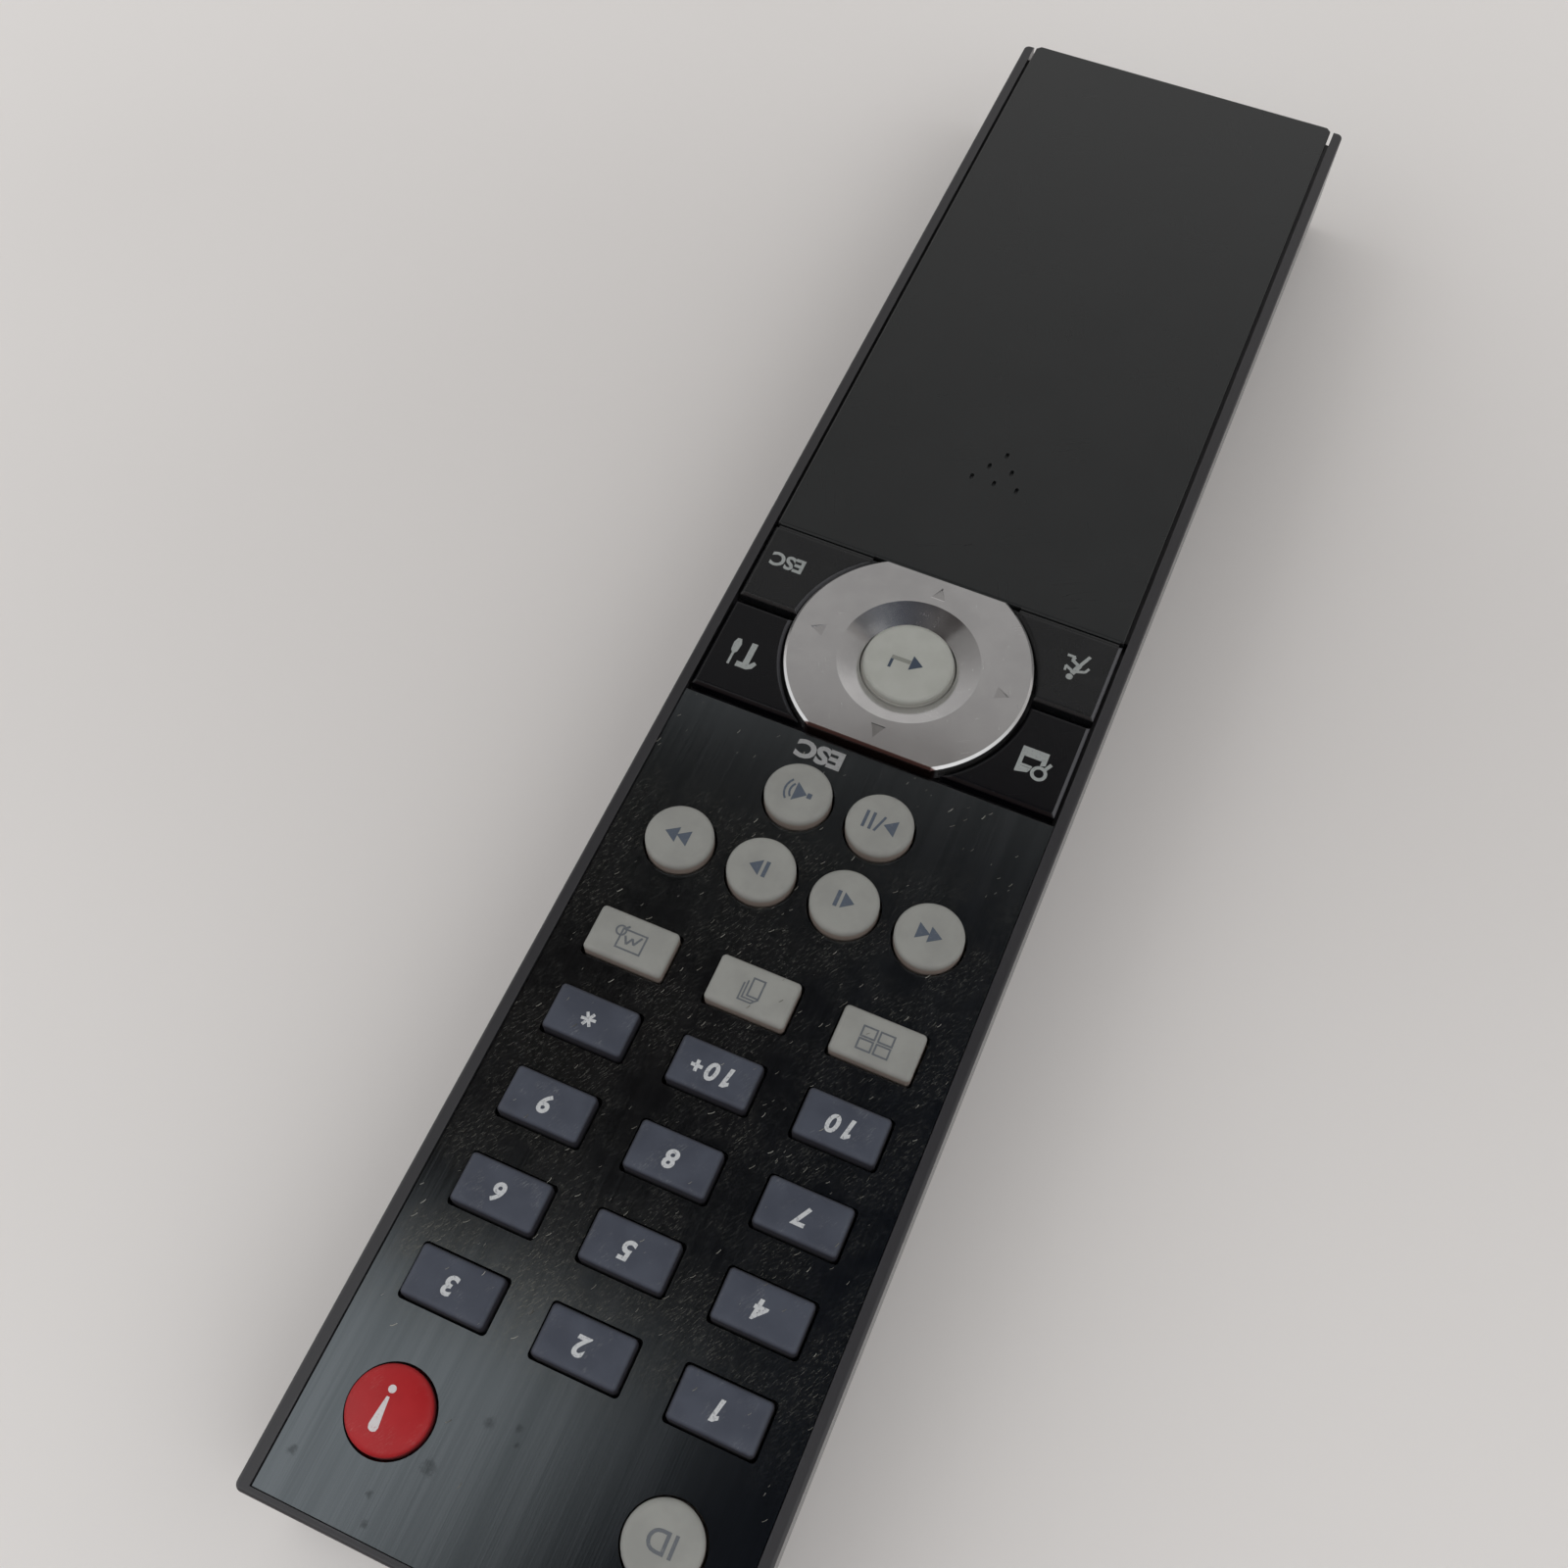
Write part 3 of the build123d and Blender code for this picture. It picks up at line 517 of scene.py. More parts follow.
def brushed_plate():
    """Near black plate, brushed along the remote, with dust between the keys."""
    material, tree, shader = finish_of("brushed_black_plate", 0.12, Anisotropic=0.8)
    brushed = use(tree, BRUSHED_LINES, line=0.16, band=1.7)
    place = millimetres(tree)
    along = axes(place)["Y"]
    between = times(remap(along, *PLATE_DUST_START), remap(along, *PLATE_DUST_END))
    dust = use(tree, DUST_FILM, cloud_size=6.5, cover=0.67)
    film = times(dust["film"], between)
    grains = times(dust["grains"], between)
    lines = calculate("MULTIPLY_ADD", brushed["bands"], 0.6, times(brushed["fine"], 0.4))
    colour = mix(remap(lines, 0.36, 0.64), PLATE_DARK, PLATE_LIGHT)
    colour = tint(colour, PLATE_FILM, film, 0.2)
    colour = tint(colour, SMUDGE_TONE, smudge_mask(place), 0.55)
    colour = tint(colour, PLATE_GRAINS, grains, 0.52)
    dull = calculate("MULTIPLY_ADD", film, 0.03, times(grains, 0.35))
    put(minus(0.985, dull), shader["Metallic"])
    rough = spread(brushed["fine"], 0.105, 0.14)
    normal = bump(brushed["fine"], 0.0025)
    inputs = {0: facing(tree), 1: (1.0, 0.0, 0.0)}
    across = add(tree, "ShaderNodeVectorMath", inputs, operation="CROSS_PRODUCT").outputs[0]
    put(across, shader["Tangent"])
    return finished(material, shader, colour, rough, normal)


def key_rubber(name, dark, light, painted_foot_shade, roughness, depth=0.006, dusty=0.35, painted_shade_height=(17.94, 17.55)):
    """Soft key rubber: matt skin, slow tone changes, worn edges lightened as painted highlights, dust and
    painted shade at the foot.
    """
    material, tree, shader = finish_of(name, roughness, Specular_IOR_Level=0.35, Sheen_Weight=0.03)
    skin = use(tree, MOULDED_GRAIN, grain=0.16, mottle=3.5)
    worn = use(tree, EDGE_WEAR, radius=0.35, patch_size=1.4)["mask"]
    dust = use(tree, DUST_FILM, cloud_size=3.0, cover=0.5)
    colour = mix(spread(skin["mottle"]), dark, light)
    # Worn corners are lighter, and this lightening also stands in for painted highlights on the key edges
    colour = tint(colour, tuple(1.45 * c + 0.012 for c in light), worn, 0.45)
    height = axes(millimetres(tree))["Z"]
    # Painted shade: the walls darken towards the foot, between the heights given
    colour = tint(colour, painted_foot_shade, remap(height, *painted_shade_height))
    colour = tint(colour, KEY_DUST, dust["grains"], dusty)
    rough = spread(skin["mottle"], roughness - 0.05, roughness + 0.06)
    soft = use(tree, SOFT_EDGES, radius=0.85)["normal"]
    return finished(material, shader, colour, rough, bump(skin["height"], depth, soft))


def silver_plating():
    """Satin silver on the direction ring, with fine scratches, painted shade in its marks and a painted
    reflection on its +Y flat.
    """
    material, tree, shader = finish_of("satin_silver", 0.2, Metallic=0.94)
    skin = use(tree, MOULDED_GRAIN, grain=0.35, mottle=5.0)
    worn = use(tree, EDGE_WEAR, radius=0.25, patch_size=2.0)["mask"]
    place = millimetres(tree)
    spot = axes(place)
    normal = facing(tree)
    lean = axes(normal)
    x, y, _ = middle("dpad_ring")
    beyond_dish = remap(distance(place, x, y, RING_TOP), DISH_EDGE, DISH_EDGE + 0.1)
    marks = times(remap(spot["Z"], RING_TOP, RING_TOP - MARK_SINK), beyond_dish)
    marks = times(marks, remap(lean["Z"], 0.85, 0.95))
    # Painted reflection: the ring's +Y flat, where it faces +Y, turns dark red-brown
    on_flat = remap(spot["Y"], *(y + edge for edge in PAINTED_REFLECTION_EDGE))
    painted_reflection = times(remap(lean["Y"], 0.3, 0.6), on_flat)
    colour = mix(spread(skin["mottle"]), (0.63, 0.62, 0.62), (0.7, 0.69, 0.688))
    colour = tint(colour, SILVER_WEAR, worn, 0.4)
    colour = tint(colour, RING_FLAT_PAINTED_REFLECTION, painted_reflection)
    # Painted shade: the floors of the engraved marks are darker
    colour = tint(colour, RING_MARK_PAINTED_SHADE, marks, 0.4)
    rough = spread(skin["mottle"], 0.13, 0.18)
    rough = scratched(tree, rough, spacing=3.0, amount=0.8, dulling=0.15)
    level = add(tree, "ShaderNodeMix", data_type="VECTOR")
    put(times(marks, 0.92), level.inputs[0])
    put(normal, level.inputs[4])
    put((0.0, 0.0, 1.0), level.inputs[5])
    return finished(material, shader, colour, rough, bump(skin["height"], 0.001, level.outputs[1]))


def gloss_black(name, tone, roughness, sheen):
    """Polished black corner keys with hairlines, a little dust and a painted highlight on the edges that
    face -X.
    """
    material, tree, shader = finish_of(name, roughness, Specular_IOR_Level=sheen)
    skin = use(tree, MOULDED_GRAIN, grain=0.5, mottle=4.0)
    dust = use(tree, DUST_FILM, cloud_size=4.0, cover=0.45)
    lean = axes(facing(tree))
    # Painted highlight: sloping edges that face -X are lighter
    painted_highlight = times(remap(lean["X"], -0.35, -0.65), remap(lean["Z"], 0.3, 0.6))
    colour = mix(skin["mottle"], tuple(0.7 * c for c in tone), tone)
    colour = tint(colour, GLOSS_DUST, dust["grains"], 0.06)
    colour = tint(colour, GLOSS_EDGE_HIGHLIGHT, painted_highlight, 0.8)
    rough = spread(skin["mottle"], roughness - 0.03, roughness + 0.04)
    rough = scratched(tree, rough, spacing=4.0, amount=1.0, dulling=0.25)
    soft = use(tree, SOFT_EDGES, radius=0.35)["normal"]
    return finished(material, shader, colour, rough, bump(skin["height"], 0.003, soft))


def printed_ink(name, ink, ground, broken):
    """Legend ink that is worn through in small flecks."""
    material, tree, shader = finish_of(name, 0.55)
    flecks = noise(millimetres(tree), 3.6, 4.0, 0.75)
    colour = tint(ink, ground, remap(flecks, 0.52, 0.7), broken)
    return finished(material, shader, colour, spread(flecks, 0.45, 0.65), bump(flecks, 0.01))


def plain_metal(name, dark, light, roughness):
    """Stamped or turned metal with faint stains and scratches."""
    material, tree, shader = finish_of(name, roughness, Metallic=1.0)
    skin = use(tree, MOULDED_GRAIN, grain=0.3, mottle=2.5)
    colour = mix(skin["mottle"], dark, light)
    rough = scratched(tree, roughness, spacing=2.5, amount=0.8, dulling=0.2)
    return finished(material, shader, colour, rough, bump(skin["height"], 0.004))


def small_part(name, dark, light, roughness):
    """Resin, ceramic, soft rubber or sleeve of a small part."""
    material, tree, shader = finish_of(name, roughness)
    skin = use(tree, MOULDED_GRAIN, grain=0.15, mottle=2.0)
    colour = mix(spread(skin["mottle"]), dark, light)
    rough = spread(skin["mottle"], roughness - 0.05, roughness + 0.05)
    return finished(material, shader, colour, rough, bump(skin["height"], 0.005))


def solder_mask():
    """Green board with faint tracks under its lacquer."""
    material, tree, shader = finish_of("green_board", 0.3, Coat_Weight=0.4, Coat_Roughness=0.15)
    black = (0.0, 0.0, 0.0, 1.0)
    inputs = {
        "Vector": millimetres(tree), "Scale": 0.35, "Mortar Size": 0.06,
        "Color1": black, "Color2": black, "Mortar": (1.0, 1.0, 1.0, 1.0),
    }
    tracks = add(tree, "ShaderNodeTexBrick", inputs).outputs["Color"]
    skin = use(tree, MOULDED_GRAIN, grain=0.2, mottle=7.0)
    colour = mix(skin["mottle"], (0.01, 0.075, 0.03), (0.018, 0.11, 0.045))
    colour = mix(tracks, colour, (0.03, 0.19, 0.07))
    return finished(material, shader, colour, spread(skin["mottle"], 0.25, 0.35), bump(tracks, 0.03))


def smoked_window():
    """Dark red-black window that passes only infrared."""
    material, tree, shader = finish_of("smoked_red_window", 0.08, Coat_Weight=0.5, Coat_Roughness=0.03)
    skin = use(tree, MOULDED_GRAIN, grain=0.6, mottle=5.0)
    colour = mix(skin["mottle"], (0.008, 0.002, 0.003), (0.016, 0.003, 0.005))
    rough = scratched(tree, 0.08, spacing=3.0, amount=1.0, dulling=0.3)
    return finished(material, shader, colour, rough, bump(skin["height"], 0.002))


def cell_wrap(name, plus_end, minus_end):
    """A cell's printed wrap between its bare steel ends, with a copper band at the plus end."""
    material, tree, shader = finish_of(name, 0.28)
    inputs = {"Value": axes(millimetres(tree))["Y"], "From Min": plus_end, "From Max": minus_end}
    run = add(tree, "ShaderNodeMapRange", inputs).outputs[0]
    skin = use(tree, MOULDED_GRAIN, grain=0.4, mottle=4.0)
    # Places along it are shares of its length, from the plus end.
    steel = calculate("MAXIMUM", remap(run, 0.034, 0.03), remap(run, 0.983, 0.987))
    band = remap(run, 0.25, 0.246)
    stripe = times(remap(run, 0.262, 0.266), remap(run, 0.282, 0.278))
    colour = mix(skin["mottle"], (0.012, 0.014, 0.018), (0.02, 0.022, 0.028))
    colour = mix(band, colour, (0.42, 0.2, 0.06))
    colour = mix(stripe, colour, (0.55, 0.53, 0.48))
    colour = mix(steel, colour, (0.6, 0.59, 0.56))
    put(calculate("MAXIMUM", steel, times(band, 0.6)), shader["Metallic"])
    rough = scratched(tree, 0.28, spacing=4.0, amount=0.6, dulling=0.2)
    return finished(material, shader, colour, rough, bump(skin["height"], 0.004))


def table_top():
    """Plain pale floor with a very faint unevenness."""
    material, tree, shader = finish_of("pale_floor", 0.6, Specular_IOR_Level=0.3)
    place = millimetres(tree)
    slow = spread(noise(place, 0.006))
    put(mix(slow, (0.85, 0.815, 0.79), (0.885, 0.85, 0.825)), shader["Base Color"])
    put(bump(noise(place, 0.8, 3.0), 0.01), shader["Normal"])
    return material


CASE_PLASTIC = satin_plastic("satin_case", (0.0292, 0.028, 0.0308), (0.0398, 0.0384, 0.0418),
                             0.16, 0.006, 0.42)
COVER_PLASTIC = satin_plastic("satin_cover", (0.012, 0.0135, 0.014), (0.0165, 0.018, 0.0185),
                              0.13, 0.004, 0.31)
INNER_PLASTIC = small_part("inner_grey", (0.06, 0.06, 0.062), (0.08, 0.08, 0.082), 0.5)
PLATE = brushed_plate()
# Each rubber's third colour is the painted shade at the foot of its keys
SLATE_RUBBER = key_rubber("slate_rubber_skin", (0.056, 0.063, 0.086), (0.07, 0.079, 0.106),
                          (0.014, 0.013, 0.02), 0.52)
PALE_RUBBER = key_rubber("pale_rubber_skin", (0.303, 0.303, 0.283), (0.341, 0.341, 0.317),
                         (0.265, 0.215, 0.185), 0.5, 0.004, 0.1, (17.9, 17.1))
RED_RUBBER = key_rubber("red_rubber_skin", (0.41, 0.01, 0.013), (0.46, 0.013, 0.017),
                        (0.22, 0.006, 0.009), 0.45, 0.004, 0.2, (17.6, 17.0))
PEARL = key_rubber("pearl_skin", (0.45, 0.455, 0.415), (0.49, 0.495, 0.455),
                   (0.42, 0.41, 0.375), 0.35, 0.002, 0.06, (17.3, 16.8))
SILVER = silver_plating()
GLOSS_BLACK = gloss_black("gloss_black", (0.0025, 0.0025, 0.004), 0.16, 0.33)
SATIN_BLACK = gloss_black("satin_black", (0.012, 0.0125, 0.0135), 0.26, 0.45)
WHITE_INK = printed_ink("white_ink", (0.6, 0.61, 0.62), (0.09, 0.1, 0.13), 0.75)
RED_KEY_INK = printed_ink("red_key_ink", (0.72, 0.68, 0.68), (0.5, 0.1, 0.1), 0.35)
SLATE_INK = printed_ink("slate_ink", (0.085, 0.105, 0.14), (0.2, 0.21, 0.22), 0.5)
GREY_INK = printed_ink("grey_ink", (0.125, 0.135, 0.15), (0.24, 0.245, 0.235), 0.5)
FAINT_INK = printed_ink("faint_ink", (0.26, 0.265, 0.235), (0.34, 0.345, 0.31), 0.5)
NAVY_INK = printed_ink("navy_ink", (0.045, 0.065, 0.1), (0.1, 0.12, 0.15), 0.4)
SILVER_INK = printed_ink("silver_ink", (0.36, 0.38, 0.37), (0.12, 0.13, 0.13), 0.7)
STAMP_INK = printed_ink("stamp_ink", (0.36, 0.36, 0.36), (0.09, 0.09, 0.09), 0.6)
LINT = small_part("lint", (0.09, 0.085, 0.07), (0.46, 0.45, 0.4), 0.8)


# Printed shapes, flat, as lists of points for each face


def stroke(a, b, thickness):
    """A straight stroke between two points."""
    start, end = Vector(a), Vector(b)
    side = (end - start).normalized().orthogonal() * thickness / 2
    return [[start + side, start - side, end - side, end + side]]


def around(centre, radius, angle):
    """The point at an angle on a circle."""
    return Vector(centre) + Vector((math.cos(angle), math.sin(angle))) * radius


def band(centre, radius, thickness, first=0.0, last=360.0):
    """A ring, or a part of one, as short faces."""
    steps = max(6, round(abs(last - first) / 15))
    angles = [math.radians(first + (last - first) * i / steps) for i in range(steps + 1)]
    inner = [around(centre, radius - thickness / 2, angle) for angle in angles]
    outer = [around(centre, radius + thickness / 2, angle) for angle in angles]
    return [[inner[i], inner[i + 1], outer[i + 1], outer[i]] for i in range(steps)]


def disc(centre, radius):
    """A round dot."""
    return [[around(centre, radius, math.radians(degrees)) for degrees in range(0, 360, 18)]]


def frame_of(x0, x1, y0, y1, thickness):
    """A rectangle's outline with square corners, as four faces."""
    rims = []
    for s in (0.0, thickness):
        corners = ((x0 + s, y0 + s), (x1 - s, y0 + s), (x1 - s, y1 - s), (x0 + s, y1 - s))
        rims.append([Vector(corner) for corner in corners])
    outer, inner = rims
    return [[outer[i - 1], outer[i], inner[i], inner[i - 1]] for i in range(4)]


def area(*points):
    """One filled face."""
    return [[Vector(point) for point in points]]


def word(text, height, weight, squeeze=1.0, shift=(0.0, 0.0), slant=0.0):
    """Letters as faces, centred, at a height in millimetres."""
    curve = bpy.data.curves.new("word", "FONT")
    curve.body = text
    curve.align_x = "CENTER"
    curve.offset = weight / height * CAPITAL_SHARE
    curve.shear = slant
    curve.resolution_u = 4
    mesh = baked(placed("word", curve))
    xs = [v.co.x for v in mesh.vertices]
    ys = [v.co.y for v in mesh.vertices]
    scale = height / (max(ys) - min(ys))
    centre = Vector(((max(xs) + min(xs)) / 2, (max(ys) + min(ys)) / 2))
    spots = [
        Vector(((v.co.x - centre.x) * scale * squeeze + shift[0], (v.co.y - centre.y) * scale + shift[1]))
        for v in mesh.vertices
    ]
    faces = [[spots[i] for i in face.vertices] for face in mesh.polygons]
    bpy.data.meshes.remove(mesh)
    return faces


def triangle(x, y, width, height):
    """A solid triangle that points to +X from its flat side at x, or to -X where width is below 0."""
    return area((x, y - height / 2), (x + width, y), (x, y + height / 2))


# Placing prints on the keys


def surface_of(node):
    """A search tree over a CAD node's mesh."""
    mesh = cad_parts[node].data
    return BVHTree.FromPolygons([v.co for v in mesh.vertices], [p.vertices for p in mesh.polygons])


def piece(name, mesh, material, body):
    """A finished mesh as a piece that rides on a body."""
    thing = placed(name, mesh)
    mesh.materials.clear()
    mesh.materials.append(material)
    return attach(thing, body)


def print_on(name, node, body, shapes, material, place):
    """Prints flat shapes, in millimetres from a place, on the top of a CAD node."""
    x0, y0 = place
    surface = surface_of(node)
    work = bmesh.new()
    for index, faces in enumerate(shapes):
        level = PRINT_LIFT + index * PRINT_STEP
        for points in faces:
            work.faces.new([work.verts.new((p.x + x0, p.y + y0, level)) for p in points])
    bmesh.ops.remove_doubles(work, verts=work.verts, dist=PRINT_WELD)
    bmesh.ops.triangulate(work, faces=work.faces)
    for _ in range(PRINT_CUTS):
        long = [edge for edge in work.edges if edge.calc_length() > PRINT_FACET]
        bmesh.ops.subdivide_edges(work, edges=long, cuts=1)
        bmesh.ops.triangulate(work, faces=work.faces)
    grown = bmesh.ops.extrude_face_region(work, geom=list(work.faces))["geom"]
    for vertex in (v for v in grown if isinstance(v, bmesh.types.BMVert)):
        vertex.co.z = -PRINT_DEPTH
    bmesh.ops.recalc_face_normals(work, faces=work.faces)
    for vertex in work.verts:
        hit = surface.ray_cast(metres(vertex.co.x, vertex.co.y, ABOVE_ALL), Vector((0.0, 0.0, -1.0)))[0]
        vertex.co = Vector((vertex.co.x * MM, vertex.co.y * MM, vertex.co.z * MM + hit.z))
    piece(name, mesh_of(name, work), material, body)


def key_legend(node, shapes, material, shift=(0.0, 0.0)):
    """A legend on one key."""
    x, y, _ = middle(node)
    print_on(f"{node}_legend", node, node, shapes, material, (x + shift[0], y + shift[1]))


def digit(text, shift=0.0):
    """A bold slanting digit, at a step from the key's middle."""
    if text == "1":
        return area(*((x + shift, y) for x, y in ONE_OUTLINE))
    return word(text, DIGIT_HEIGHT, DIGIT_WEIGHT, 1.0, (shift, 0.0), DIGIT_SLANT)


def digit_legends():
    """White digits on the slate keys."""
    for number in range(1, 10):
        key_legend(f"key_{number}", [digit(str(number))], WHITE_INK, DIGIT_SHIFT)
    key_legend("key_10", [digit("1", -1.0), digit("0", 0.75)], WHITE_INK, DIGIT_SHIFT)
    plus = [digit("1", -1.75), digit("0", 0.0), word("+", 1.3, 0.08, shift=(1.75, 0.0))]
    key_legend("key_10_plus", plus, WHITE_INK, DIGIT_SHIFT)
    tips = [around((0.0, 0.0), STAR_ARM, math.radians(degrees)) for degrees in (5, 60, 120)]
    key_legend("key_star", [stroke(-tip, tip, 0.34) for tip in tips], WHITE_INK, DIGIT_SHIFT)


def menu_legends():
    """Fine grey line icons on the three pale rectangular keys."""
    panes = [frame_of(x, x + 1.75, y, y + 1.35, 0.2) for x in (-1.85, 0.1) for y in (-1.4, 0.05)]
    key_legend("split_view_key", panes, GREY_INK, (0.2, 0.2))
    page = [frame_of(-1.15, 0.35, -1.55, 0.75, 0.2)]
    for step in (0.35, 0.7):
        page.append(stroke((-1.15 + step, 0.65 + step), (0.45 + step, 0.65 + step), 0.17))
        page.append(stroke((0.35 + step, 0.7 + step), (0.35 + step, -1.35 + step), 0.17))
    page.append(stroke((-1.1, 0.7), (-0.4, 1.4), 0.17))
    key_legend("page_key", page, GREY_INK, (0.1, 0.15))
    picture = [frame_of(-1.85, 1.2, -1.15, 1.3, 0.2)]
    ridge = [(-1.3, -0.75), (-0.7, 0.35), (-0.35, -0.3), (0.1, 0.55), (0.55, -0.35)]
    for a, b in zip(ridge, ridge[1:]):
        picture.append(stroke(a, b, 0.24))
    picture.append(band((1.25, -0.75), 0.55, 0.2))
    picture.append(stroke((0.85, -1.15), (0.5, -1.5), 0.24))
    key_legend("picture_search_key", picture, GREY_INK, (0.25, 0.15))


def player_legends():
    """Slate blue player marks on the round keys."""
    high = MARK_HEIGHT
    rewind = [triangle(x, 0.0, -1.5, high) for x in (0.05, 1.45)]
    key_legend("rewind_key", rewind, SLATE_INK)
    back = [triangle(0.25, 0.0, -1.4, high), stroke((0.85, -high / 2), (0.85, high / 2), 0.45)]
    key_legend("step_back_key", back, SLATE_INK)
    forth = [triangle(-0.05, 0.0, 1.4, high), stroke((-0.65, -high / 2), (-0.65, high / 2), 0.45)]
    key_legend("step_forward_key", forth, SLATE_INK, (0.1, 0.0))
    forward = [triangle(x, 0.0, 1.5, high) for x in (-1.35, 0.05)]
    key_legend("fast_forward_key", forward, SLATE_INK, (0.2, 0.0))
    pause = [
        triangle(-1.95, 0.0, 1.5, 2.1),
        stroke((-0.35, -1.0), (0.35, 1.1), 0.28),
        *(stroke((x, -1.1), (x, 1.1), 0.36) for x in (0.95, 1.75)),
    ]
    key_legend("play_pause_key", pause, SLATE_INK)
    sound = [
        area((-1.8, -0.35), (-1.25, -0.35), (-1.25, 0.35), (-1.8, 0.35)),
        triangle(0.3, 0.0, -1.5, 2.5),
        band((-0.5, 0.0), 1.35, 0.24, -40.0, 40.0),
        band((-0.5, 0.0), 1.95, 0.24, -42.0, 42.0),
    ]
    key_legend("sound_key", sound, SLATE_INK, (0.15, 0.0))


def alarm_legends():
    """The letters on the pale key and the exclamation mark on the red one."""
    key_legend("id_key", [word("ID", 2.2, 0.03)], GREY_INK, (0.15, 0.0))
    right = ((0.15, -1.0), (0.52, 1.85), (0.4, 2.2), (0.12, 2.35))
    left = [(-x, y) for x, y in reversed(right)]
    mark = [area(left[-1], *right, *left[:-1]), disc((0.0, -1.75), 0.4)]
    key_legend("alarm_key", mark, RED_KEY_INK, (0.45, 0.0))


def corner_legends():
    """Pale marks on the glossy corner keys."""
    screen = [
        band((-0.95, 1.0), 0.78, 0.42),
        stroke((-1.4, 0.35), (-1.95, -0.65), 0.42),
        area((-1.35, -1.9), (1.85, -1.9), (1.85, -0.65), (-1.35, -0.65)),
        area((-1.35, -0.7), (-0.75, -0.7), (-0.75, 0.0), (-1.35, -0.2)),
        area((1.35, -0.7), (1.85, -0.7), (1.85, 1.65), (1.35, 1.2)),
        area((0.05, 0.75), (1.5, 0.75), (1.8, 1.7), (0.35, 1.35)),
        stroke((0.05, 0.55), (1.5, 0.55), 0.3),
    ]
    tools = [
        stroke((-0.65, -1.9), (-0.65, 1.3), 0.75),
        area((-1.95, 0.75), (-1.55, 0.5), (-1.05, 1.1), (0.45, 1.1), (0.45, 1.85), (-1.0, 1.85),
             (-1.6, 1.5)),
        stroke((1.35, 0.1), (1.35, 1.9), 0.3),
        area((1.1, -1.9), (1.6, -1.9), (1.85, -1.2), (1.75, -0.1), (1.35, 0.4), (0.95, -0.1),
             (0.85, -1.2)),
    ]
    limbs = (
        ((0.2, 1.1), (-0.35, -0.35), 0.62), ((-0.3, -0.2), (0.75, -0.75), 0.42),
        ((0.7, -0.7), (0.55, -1.25), 0.4), ((0.5, -1.25), (1.5, -1.25), 0.36),
        ((-0.3, -0.2), (-1.1, -1.95), 0.42), ((0.1, 0.75), (-1.15, 0.35), 0.36),
        ((-1.15, 0.4), (-1.5, -0.3), 0.32), ((0.15, 0.8), (1.25, 0.25), 0.36),
        ((1.2, 0.25), (1.15, 0.95), 0.3),
    )
    marks = {
        "screen_search_key": screen,
        "tools_key": tools,
        "motion_key": [disc((0.35, 1.6), 0.42), *(stroke(*limb) for limb in limbs)],
        "escape_key": [word("ESC", 2.1, 0.1, 0.98)],
    }
    for node, shapes in marks.items():
        print_on(f"{node}_legend", node, node, shapes, SILVER_INK, CORNER_PLACES[node])


def centre_legends():
    """The enter arrow in two inks, and the word on the face plate."""
    arrow = {
        "head": (triangle(-0.35, 0.1, -1.5, 2.1), NAVY_INK),
        "shaft": (stroke((-0.3, 0.1), (2.1, 0.1), 0.55), FAINT_INK),
        "riser": (stroke((1.93, 0.35), (1.93, 1.6), 0.36), NAVY_INK),
    }
    for part, (faces, ink) in arrow.items():
        print_on(f"enter_arrow_{part}", "enter_key", "enter_key", [faces], ink, middle("enter_key")[:2])
    escape = [word("ESC", PLATE_WORD_HEIGHT, 0.16, 1.12)]
    print_on("plate_word", "face_plate", "case", escape, STAMP_INK, PLATE_WORD_PLACE)


# Lips and skirt


def slab(name, low, high, material, body):
    """A small block between two corners, in millimetres."""
    work = bmesh.new()
    bmesh.ops.create_cube(work, size=1.0)
    for vertex in work.verts:
        vertex.co = metres(*(a + (b - a) * (c + 0.5) for a, b, c in zip(low, high, vertex.co)))
    piece(name, mesh_of(name, work), material, body)


def lips_and_skirt():
    """Lips between the cover and its two keys, and the enter key's skirt in the ring's bore."""
    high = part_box("battery_cover")[1]
    edge = high.y / MM
    top = high.z / MM - LIP_DROP
    for key, side in (("escape_key", 1), ("motion_key", -1)):
        left, right = sorted((side * LIP_START, side * LIP_END))
        lips = (
            (f"{key}_cover_lip", COVER_LIP, COVER_PLASTIC, "battery_cover"),
            (f"{key}_lip", KEY_LIP, SATIN_BLACK, key),
        )
        for name, (first, last), material, body in lips:
            slab(name, (left, edge + first, top - LIP_DEPTH), (right, edge + last, top), material, body)
    x, y, _ = middle("enter_key")
    work = bmesh.new()
    radius = SKIRT_RADIUS * MM
    bmesh.ops.create_cone(work, cap_ends=True, segments=SKIRT_SIDES, radius1=radius, radius2=radius,
                          depth=SKIRT_DEPTH * MM)
    bmesh.ops.translate(work, vec=metres(x, y, SKIRT_TOP - SKIRT_DEPTH / 2), verts=work.verts)
    piece("enter_key_skirt", mesh_of("enter_key_skirt", work), PEARL, "enter_key")


# Lint by geometry nodes


